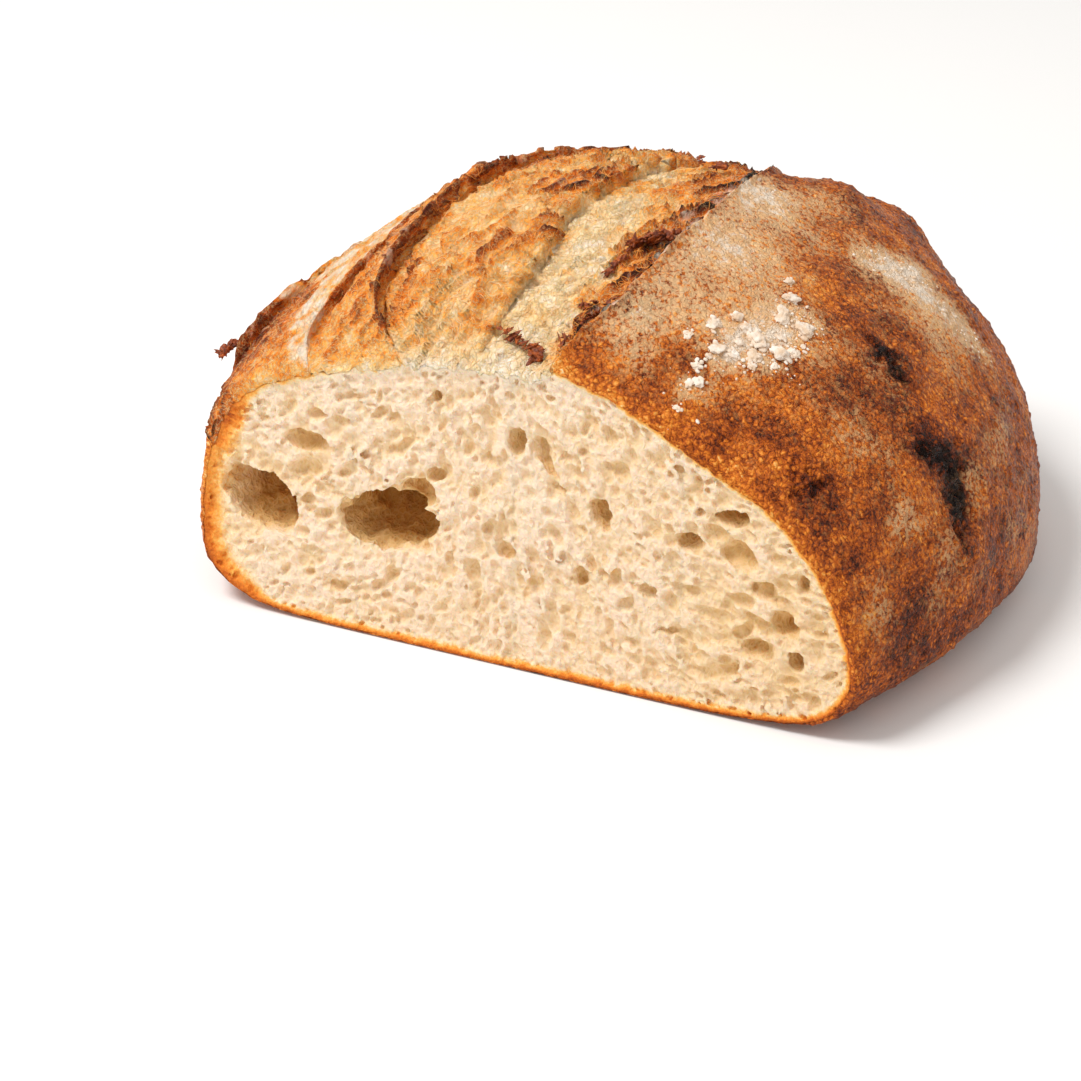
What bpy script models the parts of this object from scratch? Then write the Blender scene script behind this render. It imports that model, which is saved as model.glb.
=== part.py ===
"""A round sourdough loaf, sliced through in front of its middle and standing on its flat sole.

X runs across the cut, Y goes from the cut face back into the loaf and Z is up. The origin is on the
table, under the middle of the loaf's box. The loaf is one solid, lofted through upright sections that
are parallel to the cut, the way a bread slicer would take it apart. Each section is a rounded arch over
a flat sole. Slashes run over its top from the cut to the back, where the crust opened in the oven into
steps: each step is the edge of a torn band, with the lifted lip of crust that bakers call an ear.
The largest holes of the crumb are cut into the cut face.
"""

import math

import bmesh
import bpy
from mathutils import Vector, noise

MM = 0.001

# ---- driving dimensions ---------------------------------------------------------------------
HALF_WIDTH = 117.5 * MM  # middle of the loaf to its side, along X
HALF_DEPTH = 122.0 * MM  # middle of the loaf to its back, along Y
HEIGHT = 110.0 * MM  # table to the top of the plain dome
CUT_OFFSET = 80.0 * MM  # middle of the loaf to the cut, towards -Y
GIRTH_HEIGHT = 18.5 * MM  # height at which the loaf is widest
UNDERSIDE_DROP = 42.0 * MM  # how deep the rounded underside would go without the flat sole
SOLE_ROUNDING = 6.0 * MM  # softness of the turn from the side to the sole
SOLE_TRIM = 0.7 * MM  # sliver taken off the rounded underside, which leaves the sole flat
PLAN_POWER = 2.2  # 2 is an ellipse seen from above, and more is squarer
MIDDLE_Y = (CUT_OFFSET - HALF_DEPTH) / 2  # the loaf's middle, with its box centred on the origin
CUT_Y = MIDDLE_Y - CUT_OFFSET
BACK_Y = MIDDLE_Y + HALF_DEPTH

# ---- the dome's unevenness ---------------------------------------------------------------------
NOISE_SIZE = 46.0 * MM
NOISE_DEPTH = 1.2 * MM
# Places where the dome swells out or falls in: centre, reach, and height outwards.
SWELLS = (
    (Vector((-0.076, -0.101, 0.062)), 0.024, 0.0080),  # left shoulder at the cut
    (Vector((-0.108, -0.062, 0.036)), 0.022, -0.0025),  # flat left side behind it
    (Vector((-0.098, -0.014, 0.066)), 0.036, -0.0062),  # slumped left side
    (Vector((-0.086, 0.006, 0.080)), 0.030, -0.0028),  # and the slope above it
    (Vector((-0.030, 0.030, 0.108)), 0.040, -0.0034),  # flat crown
    (Vector((0.045, 0.061, 0.078)), 0.021, 0.0090),  # right shoulder at the back
    (Vector((0.027, 0.036, 0.095)), 0.018, -0.0035),  # dip beside it, where the slashes end
    (Vector((0.026, 0.068, 0.078)), 0.022, -0.0075),  # and its lower end
    (Vector((0.055, -0.101, 0.076)), 0.024, -0.0025),  # flat slope right of the cut's peak
    (Vector((0.088, -0.101, 0.022)), 0.022, 0.0040),  # lower right corner of the cut
    (Vector((0.108, -0.006, 0.000)), 0.020, 0.0042),  # low belly on the right
    (Vector((0.107, -0.047, 0.052)), 0.010, -0.0025),  # scorched dent in the right flank
    (Vector((0.044, 0.028, 0.099)), 0.016, 0.0060),  # high crown of the right crust
    (Vector((0.014, 0.024, 0.105)), 0.012, 0.0040),  # and of the tear beside it
)

# ---- slashes ----------------------------------------------------------------------------------
# Seen from above, each line runs from the cut to the back of the slashes: (x, y) in millimetres.
LEFT_EAR = ((-85, -102), (-95, -78), (-98, -62), (-92, -44), (-86, -15), (-79, 15), (-64, 42), (-40, 66))
STRIP_LEFT = ((-76, -102), (-79, -80), (-79, -60), (-78, -30), (-76, 5), (-62, 38), (-34, 66))
STRIP_EAR = ((-59, -102), (-64, -84), (-66, -66), (-66, -45), (-66, -15), (-57, 26), (-28, 66))
MIDDLE_EAR = ((-28, -102), (-42, -87), (-47, -66), (-49, -35), (-50, 0), (-42, 34), (-18, 66))
GAP_LEFT = ((-9, -102), (-9, -80), (-7, -62), (-9, -38), (-6, -10), (-6, 30), (-7, 66))
GAP_RIGHT = ((5, -102), (8, -84), (10, -62), (7, -38), (6, -12), (8, 30), (0, 66))
RIGHT_EAR = ((12, -102), (15, -83), (20, -62), (26, -34), (29, 0), (27, 34), (10, 66))

# Line, height of the surface at its left and at its right, length of its ear (a minus leans left),
# and along Y where its step begins, where it is full and where it has died away, all in millimetres.
# Heights are above the plain dome.
STEPS = (
    (LEFT_EAR, 2.2, -2.2, 5.0, -74, -60, 14),
    (STRIP_LEFT, 0.0, 1.0, 0.0, -92, -78, 84),
    (STRIP_EAR, 2.4, -1.8, 2.6, -99, -82, 84),
    (MIDDLE_EAR, 4.0, -2.0, 4.6, -97, -78, 84),
    (GAP_LEFT, 1.2, -3.2, 0.0, -110, -84, 84),
    (GAP_RIGHT, -3.2, -1.6, 0.0, -110, -84, 84),
    (RIGHT_EAR, 2.2, 4.0, -2.2, -120, -104, 50),
)
MOUNDS = (1.0, 0.3, 1.4, 2.6, 0.5, -0.8)  # how much each band between two lines bulges
FLANK_REACH = (12.0 * MM, 16.0 * MM)  # how far the left and right crust rises towards its edge
STEP_FADE = 44.0  # millimetres over which a step dies away
LIP_OUT = 0.55  # shares of an ear's length: how far its lip leans and stands up
LIP_UP = 0.50

# ---- mesh ---------------------------------------------------------------------------------------
STATIONS = 50
RIGHT_COLUMNS = 15
LEFT_COLUMNS = 10
SOLE_COLUMNS = 22
BAND_COLUMNS = (3, 3, 3, 5, 2, 3)  # in each band between two lines
BACK_CLOSE = 0.9985  # share of the depth where the last section stands, before the closing point

# ---- crumb ------------------------------------------------------------------------------------
# Holes in the cut face: centre (x, z), half width, half height and depth in mm, tilt in degrees.
TUNNELS = (
    ("left", -75, 35, 13.0, 9.0, 21, -24),
    ("middle", -36, 36, 15.0, 9.0, 24, 8),
)
HOLES = (
    ("crown", 2.5, 68.0, 3.2, 4.6, 6, 10),
    ("slit", 11.0, 65.0, 2.4, 6.0, 5, -32),
    ("heart", 26.5, 51.5, 3.3, 4.8, 7, 22),
    ("step", 51.5, 49.5, 3.6, 3.0, 6, 0),
    ("dark", 62.5, 58.5, 5.0, 3.0, 7, -4),
    ("broad", 65.0, 48.0, 6.0, 3.8, 5, -12),
    ("ledge", 71.5, 39.5, 4.4, 3.2, 5, 0),
    ("notch", 77.5, 31.0, 4.4, 3.2, 6, -24),
    ("pocket", 70.5, 22.0, 4.8, 3.2, 5, 0),
    ("corner", 80.5, 21.0, 2.4, 3.6, 6, 10),
    ("side", 82.0, 43.0, 2.4, 3.4, 5, 18),
    ("shelf", -60.0, 55.5, 7.0, 3.4, 5, 4),
)


def smooth_step(share):
    share = min(max(share, 0.0), 1.0)
    return share * share * (3 - 2 * share)


def half_width(y):
    """Half the loaf's width, at its girth, in the upright section at Y."""
    depth_share = min(abs(y - MIDDLE_Y) / HALF_DEPTH, 1.0)
    return HALF_WIDTH * (1 - depth_share**PLAN_POWER) ** (1 / PLAN_POWER)


def line_share(line, y):
    """A slash line's X at Y as a share of the half width, on a smooth curve through its points."""
    points = [(x * MM, at * MM) for x, at in line]
    end = points[-1][1]
    near = min(max(y, points[0][1]), end)
    i = max(k for k in range(len(points) - 1) if points[k][1] <= near)
    before, after = points[max(i - 1, 0)], points[min(i + 2, len(points) - 1)]
    (x0, y0), (x1, y1) = points[i], points[i + 1]
    slope0 = (x1 - before[0]) / (y1 - before[1]) * (y1 - y0)
    slope1 = (after[0] - x0) / (after[1] - y0) * (y1 - y0)
    t = (near - y0) / (y1 - y0)
    x = (2 * t**3 - 3 * t**2 + 1) * x0 + (t**3 - 2 * t**2 + t) * slope0
    x += (3 * t**2 - 2 * t**3) * x1 + (t**3 - t**2) * slope1
    return x / half_width(min(y, end))


def arch_point(angle, y):
    """A point of the plain loaf in the section at Y: angle 0 is its right, and pi its left girth."""
    x = half_width(y) * math.cos(angle)
    spread = (abs(x) / HALF_WIDTH) ** PLAN_POWER + (abs(y - MIDDLE_Y) / HALF_DEPTH) ** PLAN_POWER
    fall = math.sqrt(max(1 - min(spread, 1.0) ** (2 / PLAN_POWER), 0.0))
    top = math.sin(angle) >= 0
    z = GIRTH_HEIGHT + fall * ((HEIGHT - GIRTH_HEIGHT) if top else -UNDERSIDE_DROP)
    soft = (math.sqrt(z * z + SOLE_ROUNDING**2) - z) / 2
    return Vector((x, y, z + soft))


def outwards(point):
    """Unit vector out of the plain loaf at a point of it."""
    x = point.x / HALF_WIDTH**2
    y = (point.y - MIDDLE_Y) / HALF_DEPTH**2
    rise = point.z - GIRTH_HEIGHT
    z = rise / ((HEIGHT - GIRTH_HEIGHT) if rise > 0 else UNDERSIDE_DROP) ** 2
    return Vector((x, y, z)).normalized()


def unevenness(point):
    """How far the real loaf stands out of the plain one at a point, slashes apart."""
    above_table = smooth_step((point.z - 2 * SOLE_TRIM) / SOLE_ROUNDING)
    move = NOISE_DEPTH * noise.noise(point / NOISE_SIZE)
    for centre, reach, height in SWELLS:
        move += height * math.exp(-((point - centre).length_squared) / reach**2)
    return move * above_table


def strength(begins, full, ends, y):
    """0 to 1: how much of a step there is at Y."""
    front = smooth_step((y / MM - begins) / (full - begins))
    return front * smooth_step((ends - y / MM) / STEP_FADE)


def step_points(step, y):
    """The points of one step, left to right: (share of the half width, sideways, height)."""
    line, at_left, at_right, ear, begins, full, ends = step
    size = strength(begins, full, ends, y)
    share = line_share(line, y)
    left, right, lip = (size * MM * value for value in (at_left, at_right, abs(ear)))
    if ear == 0:
        places = ((-0.4 * MM, left), (0.4 * MM, right))
    else:
        high, low = (left, right) if ear > 0 else (right, left)
        places = (
            (-0.6 * MM, high),
            (-0.2 * MM + lip * LIP_OUT, high + lip * LIP_UP),
            (0.2 * MM + lip * LIP_OUT, high + lip * LIP_UP * 0.3),
            (0.6 * MM, high + (low - high) * 0.4),
            (1.2 * MM, low),
        )
        if ear < 0:
            places = tuple((-sideways, height) for sideways, height in reversed(places))
    return [(share, sideways, height) for sideways, height in places]


def top_profile(y):
    """All points over the top of the section at Y, from the left girth to the right one."""
    steps = [step_points(step, y) for step in STEPS]
    profile = []
    edge_share, edge_height = steps[0][0][0], steps[0][0][2]
    edge_angle = math.acos(edge_share)
    for i in range(LEFT_COLUMNS):
        angle = math.pi + (edge_angle - math.pi) * i / LEFT_COLUMNS
        distance = (angle - edge_angle) * half_width(y)
        profile.append((math.cos(angle), 0.0, edge_height * math.exp(-distance / FLANK_REACH[0])))
    for k, points in enumerate(steps):
        profile += points
        if k < len(MOUNDS):
            (share0, _, low0), (share1, _, low1) = points[-1], steps[k + 1][0]
            size = strength(*STEPS[k][4:], y)
            for i in range(1, BAND_COLUMNS[k]):
                t = i / BAND_COLUMNS[k]
                bulge = MOUNDS[k] * MM * size * 4 * t * (1 - t)
                profile.append((share0 + (share1 - share0) * t, 0.0, low0 + (low1 - low0) * t + bulge))
    edge_share, edge_height = steps[-1][-1][0], steps[-1][-1][2]
    edge_angle = math.acos(edge_share)
    for i in range(1, RIGHT_COLUMNS + 1):
        angle = edge_angle * (1 - i / RIGHT_COLUMNS)
        distance = (edge_angle - angle) * half_width(y)
        profile.append((math.cos(angle), 0.0, edge_height * math.exp(-distance / FLANK_REACH[1])))
    return profile


def section(y):
    """The closed section of the loaf at Y, over the top from left to right and back under it."""
    points = []
    for share, sideways, height in top_profile(y):
        base = arch_point(math.acos(min(max(share, -1.0), 1.0)), y)
        out = outwards(base)
        side = Vector((1, 0, 0)) - out * out.x
        side.normalize()
        place = base + side * sideways + out * (height + unevenness(base))
        place.y = y if y == CUT_Y else place.y
        points.append(place)
    for i in range(1, SOLE_COLUMNS):
        base = arch_point(-math.pi * i / SOLE_COLUMNS, y)
        place = base + outwards(base) * unevenness(base)
        place.y = y if y == CUT_Y else place.y
        points.append(place)
    return points


def station_y(i):
    """Sections stand evenly over most of the loaf and close up towards its rounded back."""
    t = i / (STATIONS - 1)
    share = math.sin(t * math.pi / 2) * 0.62 + t * 0.38
    return CUT_Y + (BACK_Y - CUT_Y) * share * BACK_CLOSE


def loaf_mesh():
    """The loft through all sections, closed by the cut face and by a point at the back."""
    bm = bmesh.new()
    rings = [[bm.verts.new(place) for place in section(station_y(i))] for i in range(STATIONS)]
    count = len(rings[0])
    for ring, following in zip(rings, rings[1:]):
        for i in range(count):
            k = (i + 1) % count
            bm.faces.new((ring[i], ring[k], following[k], following[i]))
    bm.faces.new(rings[0])
    last = rings[-1]
    middle = sum((vert.co for vert in last), Vector()) / count
    tip = bm.verts.new(Vector((middle.x, BACK_Y, middle.z)))
    for i in range(count):
        bm.faces.new((last[i], last[(i + 1) % count], tip))
    return bm


def flatten_sole(bm):
    """Takes the rounded underside off at a plane, closes it, and stands the loaf on the table."""
    geometry = list(bm.verts) + list(bm.edges) + list(bm.faces)
    plane = (0, 0, SOLE_TRIM)
    cut = bmesh.ops.bisect_plane(bm, geom=geometry, plane_co=plane, plane_no=(0, 0, -1), clear_outer=True)
    rim = [item for item in cut["geom_cut"] if isinstance(item, bmesh.types.BMEdge)]
    bmesh.ops.contextual_create(bm, geom=rim)
    bmesh.ops.translate(bm, verts=bm.verts, vec=(0, 0, -SOLE_TRIM))


def mesh_object(name, bm, collection):
    mesh = bpy.data.meshes.new(name)
    bmesh.ops.recalc_face_normals(bm, faces=bm.faces)
    bm.to_mesh(mesh)
    bm.free()
    made = bpy.data.objects.new(name, mesh)
    collection.objects.link(made)
    return made


def cut_hole(loaf, collection, name, x, z, half_across, half_up, depth, tilt):
    """Cuts an ellipsoid out of the cut face, turned about Y."""
    bm = bmesh.new()
    sides = 16 if half_across > 10 else 8
    bmesh.ops.create_uvsphere(bm, u_segments=sides, v_segments=sides // 2 + 1, radius=1)
    turn = math.radians(tilt)
    for vert in bm.verts:
        across, up = vert.co.x * half_across, vert.co.z * half_up
        vert.co = (
            (x + across * math.cos(turn) - up * math.sin(turn)) * MM,
            CUT_Y + vert.co.y * depth * MM,
            (z + across * math.sin(turn) + up * math.cos(turn)) * MM,
        )
    cutter = mesh_object(f"hole_{name}", bm, collection)
    cutter.hide_render = True
    cutter.display_type = "WIRE"
    modifier = loaf.modifiers.new(f"hole {name}", "BOOLEAN")
    modifier.operation = "DIFFERENCE"
    modifier.object = cutter


def crust_material():
    material = bpy.data.materials.new("crust")
    material.use_nodes = True
    shader = material.node_tree.nodes["Principled BSDF"]
    shader.inputs["Base Color"].default_value = (0.32, 0.13, 0.04, 1)
    shader.inputs["Roughness"].default_value = 0.6
    shader.inputs["Metallic"].default_value = 0.0
    return material


def main():
    for old in list(bpy.data.objects):
        bpy.data.objects.remove(old)
    parts = bpy.data.collections.new("sourdough_loaf")
    cutters = bpy.data.collections.new("cutters")
    for collection in (parts, cutters):
        bpy.context.scene.collection.children.link(collection)

    bm = loaf_mesh()
    flatten_sole(bm)
    loaf = mesh_object("loaf", bm, parts)
    loaf.data.materials.append(crust_material())
    for hole in TUNNELS + HOLES:
        cut_hole(loaf, cutters, *hole)


main()
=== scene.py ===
# %% [markdown]
# # A cut sourdough loaf
# A country loaf is a plain dome whose looks all come from the oven. Where the baker slashed it, the
# dough burst into torn bands and the crust beside each slash curled up into a lip, the ear. The rest of
# the skin browned, blistered and kept the flour of its proofing basket. The cut shows the crumb, a foam
# of flour and water. Here each of these is a piece of its own: two flanks of crust, the burst between
# them, the crumb in the cut, and the small torn and floury things on top.

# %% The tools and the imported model
import itertools
import math

import bmesh
import bpy
import numpy as np
import openvdb
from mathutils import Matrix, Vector, kdtree, noise


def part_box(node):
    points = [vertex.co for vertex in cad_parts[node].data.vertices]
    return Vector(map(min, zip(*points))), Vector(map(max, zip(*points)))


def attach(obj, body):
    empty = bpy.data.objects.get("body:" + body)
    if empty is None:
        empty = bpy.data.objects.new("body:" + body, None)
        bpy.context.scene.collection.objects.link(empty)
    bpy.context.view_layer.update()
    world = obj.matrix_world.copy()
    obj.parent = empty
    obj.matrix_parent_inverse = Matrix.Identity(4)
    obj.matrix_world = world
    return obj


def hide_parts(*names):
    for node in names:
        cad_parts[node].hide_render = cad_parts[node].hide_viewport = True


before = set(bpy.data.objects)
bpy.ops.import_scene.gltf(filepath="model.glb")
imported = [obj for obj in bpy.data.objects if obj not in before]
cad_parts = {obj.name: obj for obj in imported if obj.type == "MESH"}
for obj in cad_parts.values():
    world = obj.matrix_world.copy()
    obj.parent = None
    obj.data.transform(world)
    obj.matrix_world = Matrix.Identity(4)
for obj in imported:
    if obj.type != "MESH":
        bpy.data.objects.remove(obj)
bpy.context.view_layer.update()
LOW, HIGH = (Vector(corner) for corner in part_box("loaf"))
MM = 0.001
print("loaf box in mm:", [round(v / MM, 1) for v in (*LOW, *HIGH)])

# %% [markdown]
# ## The camera
# The loaf was seen from a little above and from the right of its cut face, with a short telephoto lens,
# which flattens it less than a long one and bends it less than a wide one. A camera that is aimed with
# a track quaternion stays level, as on a tripod.

# %% The camera
CAMERA_PLACE = Vector((265.1, -669.2, 379.2)) * MM
CAMERA_TARGET = Vector((1.7, -82.7, 30.1)) * MM
camera_data = bpy.data.cameras.new("camera")
camera_data.lens = 89.9
camera_data.sensor_width = 36
camera_data.clip_start = 0.05
camera = bpy.data.objects.new("camera", camera_data)
camera.location = CAMERA_PLACE
camera.rotation_euler = (CAMERA_TARGET - CAMERA_PLACE).to_track_quat("-Z", "Y").to_euler()
bpy.context.scene.collection.objects.link(camera)
bpy.context.scene.camera = camera
print("camera distance in mm:", round((CAMERA_TARGET - CAMERA_PLACE).length / MM))

# %% [markdown]
# ## The plain loaf
# A slicer would take the loaf apart into upright sections, each a round arch over a flat sole. So the
# loaf is a set of sections too: a point on it is named by Y, the section it is in, and by an angle, 0 at
# the right side, a quarter turn at the top and half a turn at the left. All pieces of the skin read this
# one shape, so they meet without a gap, and a whole grid of points is worked out in one go.

# %% The plain loaf, as arrays
HALF_WIDTH = 117.5 * MM
HEIGHT = 110.0 * MM
GIRTH_HEIGHT = 18.5 * MM
UNDERSIDE_DROP = 42.0 * MM
SOLE_ROUNDING = 6.0 * MM
SOLE_TRIM = 0.7 * MM
CUT_OFFSET = 80.0 * MM
PLAN_POWER = 2.2
CUT_Y, BACK_Y = LOW.y, HIGH.y
MIDDLE_Y = CUT_Y + CUT_OFFSET
HALF_DEPTH = BACK_Y - MIDDLE_Y


def half_width(y):
    depth_share = np.clip(np.abs(y - MIDDLE_Y) / HALF_DEPTH, 0, 1)
    return HALF_WIDTH * (1 - depth_share**PLAN_POWER) ** (1 / PLAN_POWER)


def arch_point(angle, y):
    """Points of the plain loaf: angle 0 is the right girth, pi the left one and a minus is below."""
    x = half_width(y) * np.cos(angle)
    spread = (np.abs(x) / HALF_WIDTH) ** PLAN_POWER + (np.abs(y - MIDDLE_Y) / HALF_DEPTH) ** PLAN_POWER
    fall = np.sqrt(np.clip(1 - np.minimum(spread, 1) ** (2 / PLAN_POWER), 0, None))
    z = GIRTH_HEIGHT + fall * np.where(np.sin(angle) >= 0, HEIGHT - GIRTH_HEIGHT, -UNDERSIDE_DROP)
    return np.stack([x, y + 0 * x, z + (np.sqrt(z * z + SOLE_ROUNDING**2) - z) / 2], -1)


def unit(vectors):
    return vectors / np.maximum(np.linalg.norm(vectors, axis=-1, keepdims=True), 1e-12)


def outwards(points):
    """Unit vectors out of the plain loaf."""
    rise = points[..., 2] - GIRTH_HEIGHT
    depth = np.where(rise > 0, HEIGHT - GIRTH_HEIGHT, UNDERSIDE_DROP)
    x = points[..., 0] / HALF_WIDTH**2
    y = (points[..., 1] - MIDDLE_Y) / HALF_DEPTH**2
    return unit(np.stack([x, y, rise / depth**2], -1))


def smooth_step(share):
    share = np.clip(share, 0, 1)
    return share * share * (3 - 2 * share)


# %% [markdown]
# No loaf is a plain dome: this one has a shoulder at the cut, a slumped left side, and a dip at the back
# where the slashes end. Each is one soft swell or dent, a bell curve round a place. A slow noise adds the
# unevenness of hand-shaped dough.

# %% The dome's unevenness
NOISE_SIZE = 46.0 * MM
NOISE_DEPTH = 1.2 * MM
SWELLS = (
    ((-76, -101, 62), 24, 8.0),
    ((-108, -62, 36), 22, -2.5),
    ((-98, -14, 66), 36, -6.2),
    ((-86, 6, 80), 30, -2.8),
    ((-30, 30, 108), 40, -3.4),
    ((45, 61, 78), 21, 9.0),
    ((27, 36, 95), 18, -3.5),
    ((26, 68, 78), 22, -7.5),
    ((55, -101, 76), 24, -2.5),
    ((88, -101, 22), 22, 4.0),
    ((108, -6, 0), 20, 4.2),
    ((107, -47, 52), 10, -2.5),
    ((44, 28, 99), 16, 6.0),
    ((14, 24, 105), 12, 4.0),
)  # place, reach and height outwards, in millimetres


def bell(points, place, reach):
    """1 at a place in millimetres and falling to nothing beyond its reach."""
    away = points - np.array(place) * MM
    return np.exp(-(away**2).sum(-1) / (reach * MM) ** 2)


def unevenness(points):
    flat = points.reshape(-1, 3)
    move = np.array([noise.noise(Vector(point) / NOISE_SIZE) for point in flat]) * NOISE_DEPTH
    for place, reach, height in SWELLS:
        move += bell(flat, place, reach) * height * MM
    move *= smooth_step((flat[:, 2] - 2 * SOLE_TRIM) / SOLE_ROUNDING)
    return move.reshape(points.shape[:-1])


# %% [markdown]
# ## The slashes
# Seven lines run over the top from the cut to the back. Between them lie the torn bands, and at a line
# the surface steps from one band to the next, often with an ear. A step is a few points, each with its
# distance sideways from the line and its height above the dome, so an ear can overhang.

# %% Lines and steps
LEFT_EAR = ((-85, -102), (-95, -78), (-98, -62), (-92, -44), (-86, -15), (-79, 15), (-64, 42), (-40, 66))
STRIP_LEFT = ((-76, -102), (-79, -80), (-79, -60), (-78, -30), (-76, 5), (-62, 38), (-34, 66))
STRIP_EAR = ((-56, -102), (-62, -88), (-62, -74), (-59, -60), (-58, -42), (-58, -20), (-54, 26), (-28, 66))
MIDDLE_EAR = ((-28, -102), (-43, -87), (-49, -70), (-49, -50), (-51, -25), (-47, 8), (-39, 34), (-18, 66))
GAP_LEFT = ((-9, -102), (-9, -80), (-7, -62), (-9, -38), (-6, -10), (-6, 30), (-7, 66))
GAP_RIGHT = ((5, -102), (8, -84), (10, -62), (7, -38), (6, -12), (8, 30), (0, 66))
RIGHT_EAR = ((13, -102), (17, -89), (22, -76), (25, -60), (28, -36), (29, -8), (27, 30), (10, 66))
STEPS = (
    (LEFT_EAR, 2.2, -1.8, 4.2, -80, -62, 14),
    (STRIP_LEFT, 0.0, 1.0, 0.0, -92, -78, 84),
    (STRIP_EAR, 1.8, -1.0, 1.7, -99, -86, 84),
    (MIDDLE_EAR, 3.4, -1.6, 3.4, -99, -80, 84),
    (GAP_LEFT, 1.2, -3.2, 0.0, -102, -70, 84),
    (GAP_RIGHT, -3.2, -1.6, 0.0, -110, -84, 84),
    (RIGHT_EAR, 2.2, 4.0, -2.0, -120, -104, 46),
)  # line, height left and right of it, ear (a minus leans left), where it begins, is full and ends
MOUNDS = (1.0, 0.3, 1.4, 2.6, 0.5, -0.8)
FLANK_REACH = (12.0 * MM, 16.0 * MM)
STEP_FADE = 44.0
LIP_OUT = 0.55
LIP_UP = 0.50


def line_share(line, y):
    """A line's X at Y as a share of the half width, on a smooth curve through its points."""
    xs, ys = np.array(line, float).T * MM
    near = np.clip(y, ys[0], ys[-1])
    i = np.clip(np.searchsorted(ys, near, side="right") - 1, 0, len(ys) - 2)
    before, after = np.maximum(i - 1, 0), np.minimum(i + 2, len(ys) - 1)
    span = ys[i + 1] - ys[i]
    slope0 = (xs[i + 1] - xs[before]) / (ys[i + 1] - ys[before]) * span
    slope1 = (xs[after] - xs[i]) / (ys[after] - ys[i]) * span
    t = (near - ys[i]) / span
    x = (2 * t**3 - 3 * t**2 + 1) * xs[i] + (t**3 - 2 * t**2 + t) * slope0
    x += (3 * t**2 - 2 * t**3) * xs[i + 1] + (t**3 - t**2) * slope1
    return x / half_width(np.minimum(y, ys[-1]))


def strength(begins, full, ends, y):
    front = smooth_step((y / MM - begins) / (full - begins))
    return front * smooth_step((ends - y / MM) / STEP_FADE)


# %% [markdown]
# ## Noise for shapes
# A shape's roughness is worked out for a whole array of points at once. Value noise gives every corner
# of a grid a random number and blends between them, which is fast in numpy and comes out the same on
# every run.

# %% Value noise
PRIMES = np.array((374761393, 668265263, 1274126177))


def rough(points, size, octaves=1, seed=0):
    """Noise from about -1 to 1 with bumps as wide as size, one number for each point."""
    total, weight = 0.0, 1.0
    for octave in range(octaves):
        cell = points / size * 2**octave + 17.3 * seed + 31.7 * octave
        corner0 = np.floor(cell).astype(np.int64)
        part = cell - corner0
        part = part**3 * (part * (part * 6 - 15) + 10)
        for corner in itertools.product((0, 1), repeat=3):
            mixed = ((corner0 + corner) * PRIMES).sum(-1)
            mixed = (mixed ^ (mixed >> 13)) * 1103515245
            mixed = (mixed ^ (mixed >> 16)) & 0xFFFF
            share = np.where(corner, part, 1 - part).prod(-1)
            total = total + weight * share * (mixed / 0x8000 - 1)
        weight /= 2
    return total


# %% [markdown]
# Dough is also full of cells: blisters on the crust and pits in a tear. Each cube of space gets one
# random point, and a place knows how far it is from the nearest of them.

# %% Cells
def nearest_cell(points, size, seed=0):
    """Distance to the nearest random point, in cell sizes, and that point's own random number."""
    cell = points / size + 11.9 * seed
    corner0 = np.floor(cell).astype(np.int64)
    best = np.full(points.shape[:-1], 9.0)
    own = np.zeros(points.shape[:-1])
    for step in itertools.product((-1, 0, 1), repeat=3):
        corner = corner0 + step
        away = np.empty(points.shape)
        for axis in range(3):
            mixed = (corner * np.roll(PRIMES, axis)).sum(-1)
            mixed = (mixed ^ (mixed >> 13)) * 1103515245
            mixed = (mixed ^ (mixed >> 16)) & 0xFFFF
            away[..., axis] = corner[..., axis] + mixed / 0x10000 - cell[..., axis]
        distance = np.linalg.norm(away, axis=-1)
        own = np.where(distance < best, mixed / 0x10000, own)
        best = np.minimum(best, distance)
    return best, own


# %% [markdown]
# ## The skin as one grid
# Bread browns along one road, from cream through gold, orange and brown to black. So every point of the
# skin carries a number for how far it is baked, and one ramp of colours turns that into colour. Two more
# numbers say how much flour lies there and how torn the surface is.
#
# The skin is a grid of columns, from the middle of the sole up the left flank, over the steps and bands,
# and down the right flank to the sole again. Each piece of the skin is some of these columns, so
# neighbours share their edge exactly.

# %% Bands and how they are baked
BAND_LOOKS = (
    ((0.52, 0.6, 0.0), (0.50, 0.6, 0.0)),
    ((0.48, 0.4, 0.0), (0.46, 0.3, 0.0)),
    ((0.37, 0.6, 0.0), (0.35, 0.7, 0.0)),
    ((0.20, 0.9, 0.0), (0.21, 1.15, 0.0)),
    ((0.09, 0.6, 0.0), (0.10, 0.7, 0.0)),
    ((0.14, 0.9, 0.0), (0.56, 1.1, 0.0)),
)  # baked, torn and floured, at the left and at the right of each band
FLANK_LOOKS = ((0.50, 0.0, 0.0), (0.57, 0.0, 0.0))  # left and right
LIP_LOOKS = ((0.66, 0.42), (0, 0), (0.60, 0.40), (0.68, 0.42), (0, 0), (0, 0), (0.46, 0.60))
DARK_END = -12.0  # behind this the lips are less burnt
BAND_COLUMNS = (24, 20, 26, 64, 26, 26)
LIP_COLUMNS = (4, 2, 2, 5, 6)  # edge to lip, its last part, over it, back under it, and down to the foot
FLANK_COLUMNS = (84, 206)
SOLE_COLUMNS = 40
ROWS = 340
BACK_CLOSE = 0.9985


def column(first, sideways, height, look):
    """One column of the grid: a row of six numbers for each section."""
    return np.stack(np.broadcast_arrays(first, sideways, height, *look), -1)


def mixed(first, second, share):
    return tuple(a + (b - a) * share for a, b in zip(first, second))


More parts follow.
